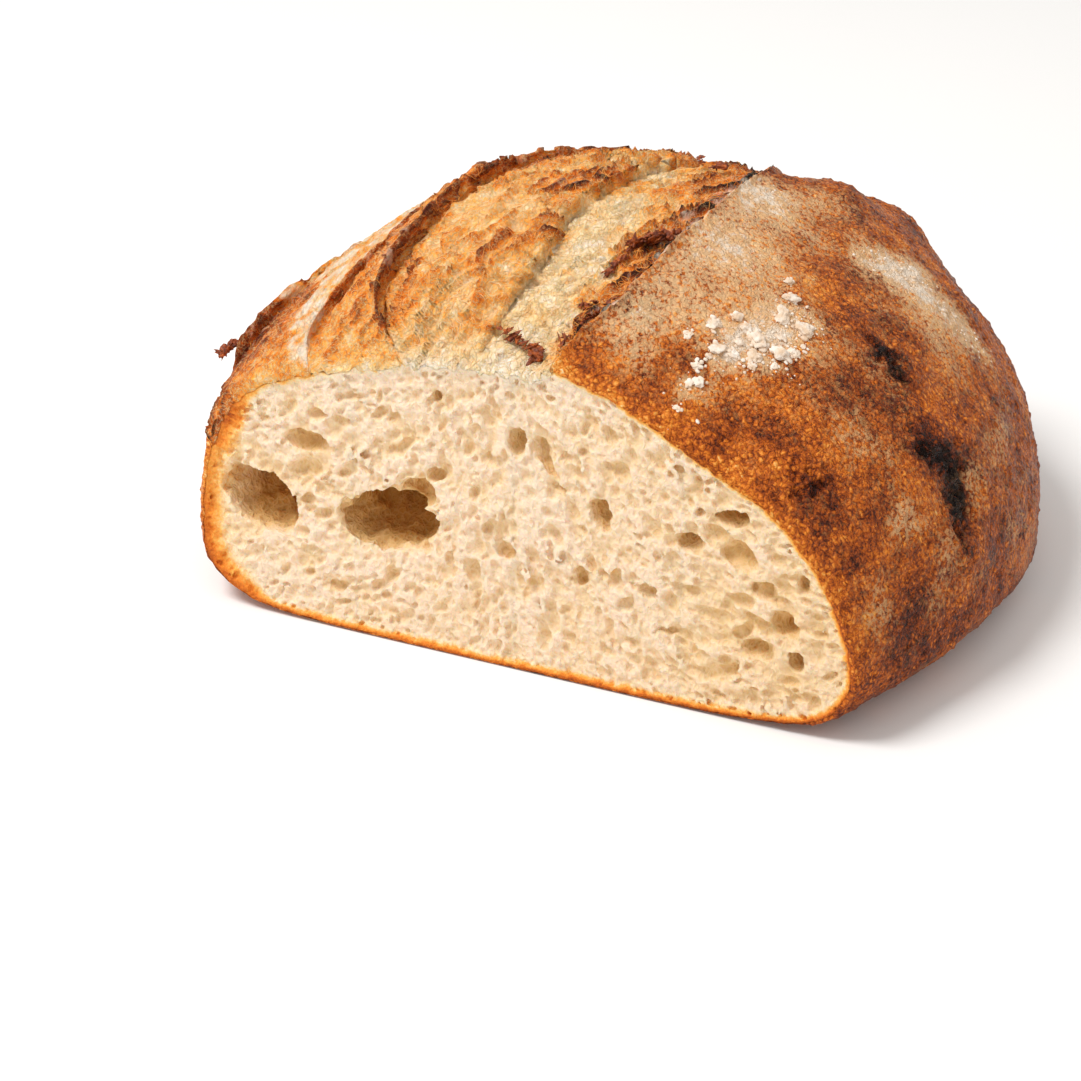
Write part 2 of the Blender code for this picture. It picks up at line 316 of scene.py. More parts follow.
def step_columns(k, y):
    """The columns of step k from left to right, before there are more between them."""
    line, at_left, at_right, ear, begins, full, ends = STEPS[k]
    size = strength(begins, full, ends, y)
    share = line_share(line, y)
    ragged = rough(np.stack([y * 0 + k * 0.05, y, y * 0], -1), 6 * MM, 3, seed=3)
    left, right = size * MM * at_left, size * MM * at_right
    lip = size * MM * abs(ear) * (1 + 0.4 * ragged)
    left_look = BAND_LOOKS[k - 1][1] if k else FLANK_LOOKS[0]
    right_look = BAND_LOOKS[k][0] if k < len(BAND_LOOKS) else FLANK_LOOKS[1]
    if ear == 0:
        return [column(share, -0.4 * MM, left, left_look), column(share, 0.4 * MM, right, right_look)]
    sign = 1 if ear > 0 else -1
    high, low = (left, right)[::sign]
    high_look, low_look = (left_look, right_look)[::sign]
    dark = np.clip(size * 1.5, 0, 1) * (0.45 + 0.55 * smooth_step((DARK_END - y / MM) / 20))
    lip_baked, wall_baked = LIP_LOOKS[k]
    lip_look = mixed(high_look, (lip_baked, 0.25, high_look[2] * 0.5), dark)
    wall_look = mixed(low_look, (wall_baked, 0.7, 0.0), dark)
    foot_look = mixed(low_look, (low_look[0] + 0.04, low_look[1], 0.0), dark)
    near_look = mixed(high_look, lip_look, 0.12)
    columns = [
        column(share, sign * -0.6 * MM, high, high_look),
        column(share, sign * (-0.25 * MM + lip * LIP_OUT * 0.75), high + lip * LIP_UP * 0.8, near_look),
        column(share, sign * (-0.2 * MM + lip * LIP_OUT), high + lip * LIP_UP, lip_look),
        column(share, sign * (0.2 * MM + lip * LIP_OUT), high + lip * LIP_UP * 0.3, lip_look),
        column(share, sign * 0.6 * MM, high + (low - high) * 0.4, wall_look),
        column(share, sign * 1.2 * MM, low, foot_look),
    ]
    return columns[::sign]


def between(first, second, count):
    """Columns from the first one up to, but not with, the second."""
    return [first + (second - first) * i / count for i in range(count)]


def band_columns(k, y, first, second):
    """The columns of band k, with its mound."""
    columns = between(first, second, BAND_COLUMNS[k])
    mound = MOUNDS[k] * MM * strength(*STEPS[k][4:], y)
    for i, here in enumerate(columns):
        t = i / len(columns)
        here[:, 2] += mound * 4 * t * (1 - t)
        look = np.array(mixed(*BAND_LOOKS[k], t))
        here[:, 3:] += (look - here[:, 3:]) * smooth_step(min(t, 1 - t) * 6)
    return columns


def top_columns(y):
    """The columns over the top, from the edge of the left flank to that of the right one."""
    steps = [step_columns(k, y) for k in range(len(STEPS))]
    columns = []
    for k, step in enumerate(steps):
        counts = LIP_COLUMNS[:: 1 if STEPS[k][3] > 0 else -1] if len(step) > 2 else (2,)
        for first, second, count in zip(step, step[1:], counts):
            columns += between(first, second, count)
        if k < len(BAND_LOOKS):
            columns += band_columns(k, y, step[-1], steps[k + 1][0])
    return columns + [steps[-1][-1]]


def flank_columns(edge, girth_angle, count, reach, y):
    """Columns from an edge of the slashes, left out, down to the girth and on to the middle of the sole."""
    columns = []
    for i in range(1, count + SOLE_COLUMNS + 1):
        down = min(i / count, 1)
        under = (max(i - count, 0) / SOLE_COLUMNS) ** 2 * math.pi / 2
        angle = edge[:, 0] + (girth_angle - edge[:, 0]) * down
        distance = np.abs(angle - edge[:, 0]) * half_width(y)
        fade = np.exp(-distance / reach)
        angle = angle + under * (1 if girth_angle else -1)
        look = FLANK_LOOKS[0 if girth_angle else 1]
        columns.append(column(angle, edge[:, 1] * fade**8, edge[:, 2] * fade, look))
    return columns


t_rows = np.linspace(0, 1, ROWS)
y_rows = CUT_Y + (BACK_Y - CUT_Y) * BACK_CLOSE * (0.75 * t_rows + 0.25 * np.sin(t_rows * math.pi / 2))
top = top_columns(y_rows)
for here in top:
    here[:, 0] = np.arccos(np.clip(here[:, 0], -1, 1))
left_flank = flank_columns(top[0], math.pi, FLANK_COLUMNS[0], FLANK_REACH[0], y_rows)
right_flank = flank_columns(top[-1], 0.0, FLANK_COLUMNS[1], FLANK_REACH[1], y_rows)
skin = np.stack(left_flank[::-1] + top + right_flank, 1)
LEFT_LIP = len(left_flank) + sum(LIP_COLUMNS[:2])
RIGHT_LIP = len(left_flank) + len(top) - 1 - sum(LIP_COLUMNS[:2])
BURST = slice(LEFT_LIP, RIGHT_LIP + 1)
print("the skin has", skin.shape[0], "rows and", skin.shape[1], "columns, the burst", RIGHT_LIP - LEFT_LIP)

# %% [markdown]
# The grid is then laid on the dome. An ear is moved sideways along the dome, so the numbers are a place
# on the dome, a way sideways and a height. What would pass the table is pressed flat on it.

# %% The grid laid on the dome
def soft_limit(values, limit, room):
    """Values up to limit - room stay, and what is beyond is squeezed into the room."""
    sign = 1 if limit > 0 else -1
    over = (values * sign - limit * sign + room) / room
    return np.where(over > 0, (limit * sign - room + room * np.tanh(np.maximum(over, 0))) * sign, values)


def on_the_dome(skin, y):
    base = arch_point(skin[..., 0], y[:, None])
    out = outwards(base)
    side = unit(np.array((1.0, 0, 0)) - out * out[..., :1])
    height = skin[..., 2] + unevenness(base)
    return base + side * skin[..., 1, None] + out * height[..., None]


def grid_normals(places):
    along, across = np.gradient(places, axis=0), np.gradient(places, axis=1)
    return unit(np.cross(across, along))


skin_places = on_the_dome(skin, y_rows)
baked, torn, floured = (skin[..., i].copy() for i in (3, 4, 5))
print("skin height in mm:", round(float(skin_places[..., 2].max()) / MM, 1))

# %% [markdown]
# ## Tears, blisters and wrinkles
# A tear is pulled dough: long ridges along the slash with pits between them, toasted where they stand
# out and pale in the hollows. Crust that was dried by the oven before it burst is thin and brittle. It
# blisters where steam gathers under it, and wrinkles beside the slash.

# %% Scorches and flour
SCORCHES = (
    ((83, -40, 85), 5.0, 0.26),
    ((88, -40, 80), 5.0, 0.26),
    ((58, -95, 81), 5.0, 0.24),
    ((77, -92, 70), 5.0, 0.32),
    ((83, -88, 67), 5.0, 0.30),
    ((99, -52, 67), 6.0, 0.24),
    ((104, -48, 60), 7.0, 0.42),
    ((108, -48, 53), 8.0, 0.55),
    ((109, -57, 47), 7.0, 0.34),
    ((96, -30, 74), 9.0, 0.12),
    ((91, -48, 77), 7.0, 0.12),
    ((77, -68, 83), 6.0, 0.13),
    ((95, -88, 50), 9.0, 0.12),
    ((93, -96, 43), 9.0, 0.10),
    ((82, -98, 57), 7.0, 0.10),
    ((108, -74, 23), 12.0, 0.08),
    ((104, -20, 45), 22.0, 0.03),
    ((-22, -70, 104), 5.0, 0.16),
    ((-15, -60, 108), 5.0, 0.26),
    ((-10, -51, 110), 5.0, 0.30),
    ((-10, -91, 96), 4.0, 0.12),
    ((-20, -30, 112), 6.0, 0.34),
    ((-12, -22, 113), 7.0, 0.40),
    ((-5, -16, 113), 6.0, 0.36),
    ((2, -8, 113), 7.0, 0.30),
    ((-39, -86, 94), 5.0, 0.22),
    ((-42, -78, 97), 5.0, 0.22),
    ((-43, -69, 99), 5.0, 0.20),
    ((-35, -2, 108), 9.0, 0.20),
    ((-52, 4, 101), 12.0, 0.06),
    ((-110, -92, 42), 22.0, -0.16),
    ((13, -88, 98), 5.0, 0.16),
    ((19, -77, 102), 5.0, 0.20),
    ((20, -48, 109), 6.0, 0.18),
)  # place, reach and how much browner
FLOURINGS = (
    ((46, -91, 89), 6.0, 0.55),
    ((59, -65, 95), 8.0, 0.95),
    ((51, -73, 95), 7.0, 0.85),
    ((62, -52, 97), 7.0, 0.85),
    ((34, -3, 109), 8.0, 0.66),
    ((31, -14, 110), 7.0, 0.50),
    ((25, -84, 99), 11.0, 0.42),
    ((33, -68, 102), 13.0, 0.42),
    ((34, -46, 107), 14.0, 0.52),
    ((37, -24, 108), 15.0, 0.38),
    ((42, -8, 106), 12.0, 0.26),
    ((50, -42, 103), 15.0, 0.26),
    ((69, -1, 94), 8.0, 0.80),
    ((78, 3, 87), 9.0, 0.85),
    ((94, 6, 73), 9.0, 0.70),
    ((84, -6, 84), 16.0, 0.38),
    ((100, -75, 53), 5.0, 0.34),
    ((111, -39, 50), 7.0, 0.22),
    ((109, -65, 39), 6.0, 0.24),
    ((100, -90, 35), 7.0, 0.24),
    ((87, -72, 73), 8.0, 0.20),
    ((107, -13, 57), 9.0, 0.18),
    ((46, 8, 103), 9.0, 0.30),
)  # place, reach and how much flour

# %% Relief of the skin
def ridges(points, size, octaves, seed):
    """Noise with sharp crests: 1 on a crest and down to about -1 between them."""
    return 1 - 2.6 * np.abs(rough(points, size, octaves, seed))


def torn_relief(points):
    """Height of a tear from about -1 to 1, and how much each point is on the rim of a torn layer."""
    pulled = points * (1.0, 0.42, 1.0) - points[..., 1:2] * (0.22, 0, 0)
    pulled = pulled + 1.8 * MM * rough(points, 6 * MM, 2, seed=5)[..., None]
    layers = 1.7 * rough(pulled, 11 * MM, 2, seed=1)
    layer = layers - np.floor(layers)
    shingle = layer**1.6 * smooth_step((1 - layer) / 0.13)
    folds = ridges(pulled, 4.5 * MM, 2, seed=13)
    shreds = ridges(pulled, 2.0 * MM, 1, seed=2)
    near, own = nearest_cell(pulled, 3.6 * MM, seed=2)
    pit = smooth_step(1 - near / (0.15 + 0.3 * own)) * (own > 0.55)
    height = 1.6 * shingle - 0.50 + 0.34 * folds + 0.20 * shreds - 0.8 * pit
    rim = smooth_step((layer - 0.55) / 0.3) * smooth_step((1 - layer) / 0.08) * smooth_step(folds + 0.7)
    return height, rim


def crust_relief(points):
    """Height of blisters and wrinkles, in metres, and how blistered each point is."""
    near, own = nearest_cell(points + 0.6 * MM * rough(points, 2 * MM, 1, seed=8)[..., None], 3.2 * MM, seed=1)
    blister = smooth_step(1 - near / (0.18 + 0.4 * own)) * (own > 0.35)
    wrinkle = ridges(points, 3.4 * MM, 2, seed=14)
    fine = rough(points, 1.8 * MM, 2, seed=6)
    broad = rough(points, 12 * MM, 2, seed=7)
    return (0.5 * blister + 0.30 * fine + 0.14 * wrinkle + 0.6 * broad) * MM, blister


torn_height, crest = torn_relief(skin_places)
crust_height, blister = crust_relief(skin_places)
whole = 1 - np.clip(torn * 1.6, 0, 1)
relief = torn_height * torn * 1.9 * MM + crust_height * whole
wander = [rough(skin_places, 6 * MM, 3, seed=seed) for seed in (31, 32, 33)]
wandered = skin_places + 3.2 * MM * np.stack(wander, -1)
burnt = sum(bell(wandered, place, reach) for place, reach, more in SCORCHES if more > 0.2)
relief = relief + burnt * (1.1 * ridges(skin_places, 4.0 * MM, 3, seed=12) + 0.3) * MM * whole
at_table = smooth_step((skin_places[..., 2] - SOLE_TRIM) / (5 * MM))
skin_places = skin_places + grid_normals(skin_places) * (relief * at_table)[..., None]
skin_places[..., 2] -= SOLE_TRIM
skin_places[..., 2] = soft_limit(np.maximum(skin_places[..., 2], 0), HIGH.z, 1.5 * MM)
for limit in (LOW.x, HIGH.x):
    skin_places[..., 0] = soft_limit(skin_places[..., 0], limit, 1.2 * MM)
skin_places[0, :, 1] = CUT_Y
skin_places[..., 1] = np.clip(skin_places[..., 1], CUT_Y, BACK_Y)
print("relief in mm:", [round(float(v) / MM, 2) for v in (relief.min(), relief.max())])

# %% [markdown]
# The colours follow the shape and the oven. Crests of a tear are toasted. The right flank is browner away
# from the cut and scorched in a few spots, and flour lies where the basket pressed it in.

# %% Where it is baked, scorched and floured
patches = rough(skin_places, 22 * MM, 3, seed=9)
on_flank = whole * at_table
tears = np.clip(torn, 0, 1)
behind_cut = skin_places[..., 1] - CUT_Y
baked = baked + (0.05 * patches + 0.06 * rough(skin_places, 7 * MM, 2, seed=10)) * on_flank
for place, reach, more in SCORCHES:
    baked = baked + bell(wandered, place, reach) * more * (1 + 0.5 * patches)
for place, reach, more in FLOURINGS:
    floured = floured + bell(wandered, place, reach) * more
baked = baked + (0.08 * torn_height + 0.30 * crest) * tears * np.clip(baked * 4 - 0.25, 0, 1)
high_up = smooth_step((skin_places[..., 2] - 20 * MM) / (50 * MM))
near_cut = 0.16 * np.exp(-behind_cut / (4 * MM)) + 0.05 * np.exp(-behind_cut / (24 * MM))
baked = baked + (0.04 * (1 - high_up) - near_cut * high_up) * on_flank
away_from_cut = smooth_step(behind_cut / (12 * MM))
hazy = 0.09 + 0.14 * rough(skin_places, 11 * MM, 3, seed=41)
floured = floured + np.clip(hazy, 0, 1) * away_from_cut * on_flank
baked = baked - 0.14 * np.clip(floured * 1.6, 0, 1) * on_flank
paling = np.exp(-((behind_cut / (7 * MM)) ** 1.3)) * tears * smooth_step((skin_places[..., 2] / MM - 60) / 15)
baked = baked * (1 - 0.88 * paling)
toasted_back = smooth_step((skin_places[..., 1] + 30 * MM) / (70 * MM)) * tears
baked = baked + 0.20 * toasted_back * (0.6 + 0.9 * patches)

# %% [markdown]
# A strip of the floured skin stayed whole between two of the slashes. It is a narrow tongue in front,
# with a torn tip, and widens behind.

# %% The floured strip
STRIP_ROWS = (-97, -84, -70, -62, -54, -44, 0)
STRIP_WIDTHS = (7.0, 8.0, 10.5, 17.0, 32.0, 46.0, 50.0)
STRIP_LOOK = (0.26, 0.25, 0.40)
strip_edge = (line_share(STRIP_EAR, y_rows) * half_width(y_rows))[:, None]
strip_width = np.interp(y_rows / MM, STRIP_ROWS, STRIP_WIDTHS)[:, None] * MM
left_of_edge = strip_edge - 0.4 * MM - skin_places[..., 0]
ragged_edge = rough(skin_places, 4 * MM, 3, seed=23)
in_strip = smooth_step(left_of_edge / (0.5 * MM))
strip_softness = (1.5 + 10.5 * smooth_step((skin_places[..., 1] / MM + 75) / 25)) * MM
in_strip = in_strip * smooth_step((strip_width - left_of_edge) / strip_softness + 0.8 * ragged_edge)
in_strip = in_strip * smooth_step(behind_cut / (1.5 * MM) - 1.0 + ragged_edge)
in_strip = in_strip * smooth_step((70 * MM - skin_places[..., 1]) / (50 * MM))
baked = baked + (STRIP_LOOK[0] - baked) * in_strip
torn = torn + (STRIP_LOOK[1] - torn) * in_strip
strip_floured = STRIP_LOOK[2] + 0.30 * ragged_edge + 0.3 * np.exp(-behind_cut / (12 * MM))
floured = floured + (strip_floured - floured) * in_strip
baked = np.clip(baked, 0, 1)
floured = np.clip(floured, 0, 1)
print("baked:", round(float(baked.min()), 2), "to", round(float(baked.max()), 2))

# %% [markdown]
# ## Making a piece
# Every piece is finished the same way: smooth shading, its material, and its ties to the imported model.
# A grid piece starts as Blender's flat grid and its vertices are then moved to their places.

# %% Pieces
def finished(name, mesh, material):
    """An object of the mesh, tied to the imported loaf."""
    mesh.polygons.foreach_set("use_smooth", np.ones(len(mesh.polygons), bool))
    mesh.materials.append(material)
    piece = bpy.data.objects.new(name, mesh)
    bpy.context.scene.collection.objects.link(piece)
    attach(piece, "root")
    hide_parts("loaf")
    triangles = sum(polygon.loop_total - 2 for polygon in mesh.polygons)
    print(f"{name}: {triangles} triangles")
    return piece


def set_looks(mesh, looks):
    """Stores numbers at the vertices for the materials to read."""
    for name, values in looks.items():
        attribute = mesh.attributes.new(name, "FLOAT", "POINT")
        attribute.data.foreach_set("value", np.ascontiguousarray(values, np.float32).ravel())


def grid_mesh(name, places, looks):
    """A flat grid bent to its places. Points that fall together are merged."""
    bm = bmesh.new()
    bmesh.ops.create_grid(bm, x_segments=places.shape[1] - 1, y_segments=places.shape[0] - 1, size=1)
    mesh = bpy.data.meshes.new(name)
    bm.to_mesh(mesh)
    mesh.vertices.foreach_set("co", np.ascontiguousarray(places, np.float32).ravel())
    set_looks(mesh, looks)
    bm.clear()
    bm.from_mesh(mesh)
    bmesh.ops.remove_doubles(bm, verts=bm.verts, dist=0.004 * MM)
    bm.to_mesh(mesh)
    bm.free()
    return mesh


# %% [markdown]
# ## Materials
# Hex colours are turned into the linear numbers that light is reckoned in. One function adds a node, and
# takes other nodes as its inputs, so a material reads as a short list of steps.

# %% Colour and node helpers
def linear(code):
    """A hex sRGB colour as linear red, green, blue and alpha."""
    parts = [int(code[i : i + 2], 16) / 255 for i in (1, 3, 5)]
    return tuple(v / 12.92 if v <= 0.04045 else ((v + 0.055) / 1.055) ** 2.4 for v in parts) + (1.0,)


def add(tree, kind, inputs=None, **settings):
    """Adds a node with its settings. An input is a number, a colour, a socket, or a node to link from."""
    node = tree.nodes.new("ShaderNode" + kind)
    for name, value in settings.items():
        setattr(node, name, value)
    for key, value in (inputs or {}).items():
        sockets = [socket for socket in node.inputs if socket.enabled and socket.name == key]
        socket = node.inputs[key] if isinstance(key, int) else sockets[0]
        if isinstance(value, bpy.types.Node):
            value = next(output for output in value.outputs if output.enabled)
        if isinstance(value, bpy.types.NodeSocket):
            tree.links.new(value, socket)
        else:
            socket.default_value = value
    return node


def per(size):
    """A pattern's scale for a size in millimetres."""
    return 1 / (size * MM)


def new_material(name):
    material = bpy.data.materials.new(name)
    material.use_nodes = True
    tree = material.node_tree
    place = add(tree, "TexCoord").outputs["Object"]
    return material, tree, tree.nodes["Principled BSDF"], place


BAKE_COLOURS = (
    (0.00, "#fff0dc"),
    (0.12, "#fedca6"),
    (0.25, "#feb457"),
    (0.38, "#f18d2d"),
    (0.50, "#cf681a"),
    (0.60, "#a84f14"),
    (0.70, "#7e350d"),
    (0.80, "#541e08"),
    (0.90, "#2b0f05"),
    (1.00, "#120704"),
)
FLOUR_COLOUR = "#f6e6d2"


def bake_ramp(tree, baked):
    """The colour of dough that is baked so far."""
    ramp = add(tree, "ValToRGB", {"Fac": baked})
    stops = ramp.color_ramp.elements
    while len(stops) < len(BAKE_COLOURS):
        stops.new(0.5)
    for stop, (place, colour) in zip(stops, BAKE_COLOURS):
        stop.position = place
        stop.color = linear(colour)
    return ramp


# %% [markdown]
# ### Crust
# Crust is a thin shell of gelatinised starch, so it has a slight sheen, and under it lie fine bubbles
# that read as golden rings and dark specks. Flour sits in its hollows as a greyish bloom.

# %% Crust material
def crust_material():
    material, tree, shader, place = new_material("blistered sourdough crust")
    baked = add(tree, "Attribute", attribute_name="baked").outputs["Fac"]
    floured = add(tree, "Attribute", attribute_name="floured").outputs["Fac"]
    warp = add(tree, "TexNoise", {"Vector": place, "Scale": per(2.2), "Detail": 3.0})
    warp = add(tree, "VectorMath", {0: warp.outputs["Color"], 1: (0.5, 0.5, 0.5)}, operation="SUBTRACT")
    bent = add(tree, "VectorMath", {0: warp, 1: (2.6 * MM,) * 3, 2: place}, operation="MULTIPLY_ADD")
    bent = add(tree, "Mapping", {"Vector": bent, "Scale": (1.0, 1.0, 0.75)})
    patch = add(tree, "TexNoise", {"Vector": place, "Scale": per(13), "Detail": 3.0, "Roughness": 0.6})
    mottle = add(tree, "TexNoise", {"Vector": place, "Scale": per(4.5), "Detail": 3.0, "Roughness": 0.6})
    grain = {"Vector": place, "Scale": per(1.1), "Detail": 4.0, "Roughness": 0.7, "Distortion": 0.5}
    grain = add(tree, "TexNoise", grain)
    gaps = add(tree, "TexVoronoi", {"Vector": bent, "Scale": per(1.5)}, feature="DISTANCE_TO_EDGE")
    bead = add(tree, "TexVoronoi", {"Vector": bent, "Scale": per(1.5)}, feature="F1")
    golden = add(tree, "MapRange", {0: bead.outputs["Distance"], 1: 0.22, 2: 0.45, 3: 1.0, 4: 0.0})
    chosen = add(tree, "MapRange", {0: bead.outputs["Color"], 1: 0.42, 2: 0.60})
    golden = add(tree, "Math", {0: golden, 1: chosen}, operation="MULTIPLY")
    total = baked
    for value, low, high, least, most in (
        (patch.outputs["Fac"], 0.3, 0.7, -0.07, 0.08),
        (mottle.outputs["Fac"], 0.3, 0.7, -0.07, 0.09),
        (grain.outputs["Fac"], 0.32, 0.68, 0.17, -0.17),
        (gaps.outputs["Distance"], 0.0, 0.12, 0.12, 0.0),
        (golden, 0.0, 1.0, 0.02, -0.12),
    ):
        share = add(tree, "MapRange", {0: value, 1: low, 2: high, 3: least, 4: most})
        total = add(tree, "Math", {0: total, 1: share}, operation="ADD")
    colour = bake_ramp(tree, total)
    granule = {"Vector": place, "Scale": per(1.4), "Detail": 5.0, "Roughness": 0.7, "Distortion": 0.4}
    granule = add(tree, "TexNoise", granule)
    granule = add(tree, "MapRange", {0: granule.outputs["Fac"], 1: 0.36, 2: 0.62, 3: -0.6, 4: 0.5})
    haze = add(tree, "Math", {0: floured, 1: granule}, operation="ADD")
    haze = add(tree, "MapRange", {0: haze, 1: 0.10, 2: 0.55, 3: 0.0, 4: 0.80})
    some = add(tree, "MapRange", {0: floured, 1: 0.0, 2: 0.25})
    haze = add(tree, "Math", {0: haze, 1: some}, operation="MULTIPLY")
    clean = add(tree, "MapRange", {0: baked, 1: 0.60, 2: 0.74, 3: 1.0, 4: 0.1})
    haze = add(tree, "Math", {0: haze, 1: clean}, operation="MULTIPLY")
    paler = add(tree, "MapRange", {0: floured, 1: 0.15, 2: 0.55})
    tints = {"Factor": paler, "A": linear("#cf9257"), "B": linear("#ecc694")}
    tints = add(tree, "Mix", tints, data_type="RGBA").outputs[2]
    colour = add(tree, "Mix", {"Factor": haze, "A": colour, "B": tints}, data_type="RGBA")
    dust = {"Vector": place, "Scale": per(2.6), "Detail": 8.0, "Roughness": 0.75, "Distortion": 0.3}
    dust = add(tree, "TexNoise", dust)
    dust = add(tree, "MapRange", {0: dust.outputs["Fac"], 1: 0.25, 2: 0.75, 3: -0.6, 4: 0.6})
    lies = add(tree, "Math", {0: floured, 1: dust}, operation="ADD")
    lies = add(tree, "MapRange", {0: lies, 1: 0.72, 2: 1.05, 3: 0.0, 4: 0.85})
    lies = add(tree, "Math", {0: lies, 1: some}, operation="MULTIPLY")
    mixture = {"Factor": lies, "A": colour, "B": linear(FLOUR_COLOUR)}
    colour = add(tree, "Mix", mixture, data_type="RGBA")
    edge = add(tree, "MapRange", {0: gaps.outputs["Distance"], 1: 0.0, 2: 0.3, 3: 0.0, 4: 0.45})
    relief = add(tree, "Math", {0: grain.outputs["Fac"], 1: edge}, operation="ADD")
    bump = add(tree, "Bump", {"Height": relief, "Distance": 0.75 * MM, "Strength": 1.0})
    gloss = add(tree, "MapRange", {0: total, 1: 0.62, 2: 0.95, 3: 0.42, 4: 0.22})
    tree.links.new(colour.outputs[2], shader.inputs["Base Color"])
    tree.links.new(gloss.outputs[0], shader.inputs["Roughness"])
    tree.links.new(bump.outputs[0], shader.inputs["Normal"])
    shader.inputs["Specular IOR Level"].default_value = 0.18
    return material


# %% [markdown]
# ### Torn dough
# Where the crust burst, the wet dough was pulled into strings before it set. It is matt, paler than the
# crust and a little translucent, which softens its shadows to orange.

# %% Torn dough material
def torn_material():
    material, tree, shader, place = new_material("toasted torn dough")
    baked = add(tree, "Attribute", attribute_name="baked").outputs["Fac"]
    floured = add(tree, "Attribute", attribute_name="floured").outputs["Fac"]
    stretch = add(tree, "Mapping", {"Vector": place, "Scale": (1.0, 0.45, 1.0), "Rotation": (0, 0, 0.25)})
    string = {"Vector": stretch, "Scale": per(1.5), "Detail": 5.0, "Roughness": 0.65, "Distortion": 1.8}
    string = add(tree, "TexNoise", string)
    patch = add(tree, "TexNoise", {"Vector": place, "Scale": per(6), "Detail": 4.0, "Roughness": 0.65})
    warp = add(tree, "TexNoise", {"Vector": place, "Scale": per(2.6), "Detail": 3.0})
    warp = add(tree, "VectorMath", {0: warp.outputs["Color"], 1: (0.5, 0.5, 0.5)}, operation="SUBTRACT")
    bent = add(tree, "VectorMath", {0: warp, 1: (5.0 * MM,) * 3, 2: stretch}, operation="MULTIPLY_ADD")
    net = add(tree, "TexVoronoi", {"Vector": bent, "Scale": per(1.7)}, feature="DISTANCE_TO_EDGE")
    thread = add(tree, "MapRange", {0: net.outputs["Distance"], 1: 0.01, 2: 0.09, 3: 1.0, 4: 0.0})
    shift = add(tree, "MapRange", {0: patch.outputs["Fac"], 1: 0.3, 2: 0.7, 3: -0.13, 4: 0.15})
    lines = add(tree, "MapRange", {0: string.outputs["Fac"], 1: 0.3, 2: 0.7, 3: 0.14, 4: -0.14})
    spread = add(tree, "Math", {0: shift, 1: lines}, operation="ADD")
    room = add(tree, "MapRange", {0: baked, 1: 0.0, 2: 0.3, 3: 0.42, 4: 1.0})
    spread = add(tree, "Math", {0: spread, 1: room}, operation="MULTIPLY")
    total = add(tree, "Math", {0: baked, 1: spread}, operation="ADD")
    colour = bake_ramp(tree, total)
    shown = add(tree, "MapRange", {0: total, 1: 0.35, 2: 0.75, 3: 0.80, 4: 0.20})
    light = add(tree, "Math", {0: thread, 1: shown}, operation="MULTIPLY")
    mixture = {"Factor": light, "A": colour, "B": linear("#ffdb9e")}
    colour = add(tree, "Mix", mixture, data_type="RGBA").outputs[2]
    dust = add(tree, "MapRange", {0: patch.outputs["Fac"], 1: 0.35, 2: 0.65, 3: 0.35, 4: -0.35})
    lies = add(tree, "Math", {0: floured, 1: dust}, operation="ADD")
    lies = add(tree, "MapRange", {0: lies, 1: 0.25, 2: 0.8, 3: 0.0, 4: 0.85})
    mixture = {"Factor": lies, "A": colour, "B": linear(FLOUR_COLOUR)}
    colour = add(tree, "Mix", mixture, data_type="RGBA")
    raised = add(tree, "Math", {0: thread, 1: 0.35}, operation="MULTIPLY")
    relief = add(tree, "Math", {0: string.outputs["Fac"], 1: raised}, operation="ADD")
    bump = add(tree, "Bump", {"Height": relief, "Distance": 0.8 * MM, "Strength": 1.0})
    tree.links.new(colour.outputs[2], shader.inputs["Base Color"])
    tree.links.new(bump.outputs[0], shader.inputs["Normal"])
    shader.inputs["Roughness"].default_value = 0.5
    shader.inputs["Specular IOR Level"].default_value = 0.16
    shader.inputs["Subsurface Weight"].default_value = 0.15
    shader.inputs["Subsurface Radius"].default_value = (1.6 * MM, 0.8 * MM, 0.35 * MM)
    shader.inputs["Subsurface Scale"].default_value = 1.0
    return material
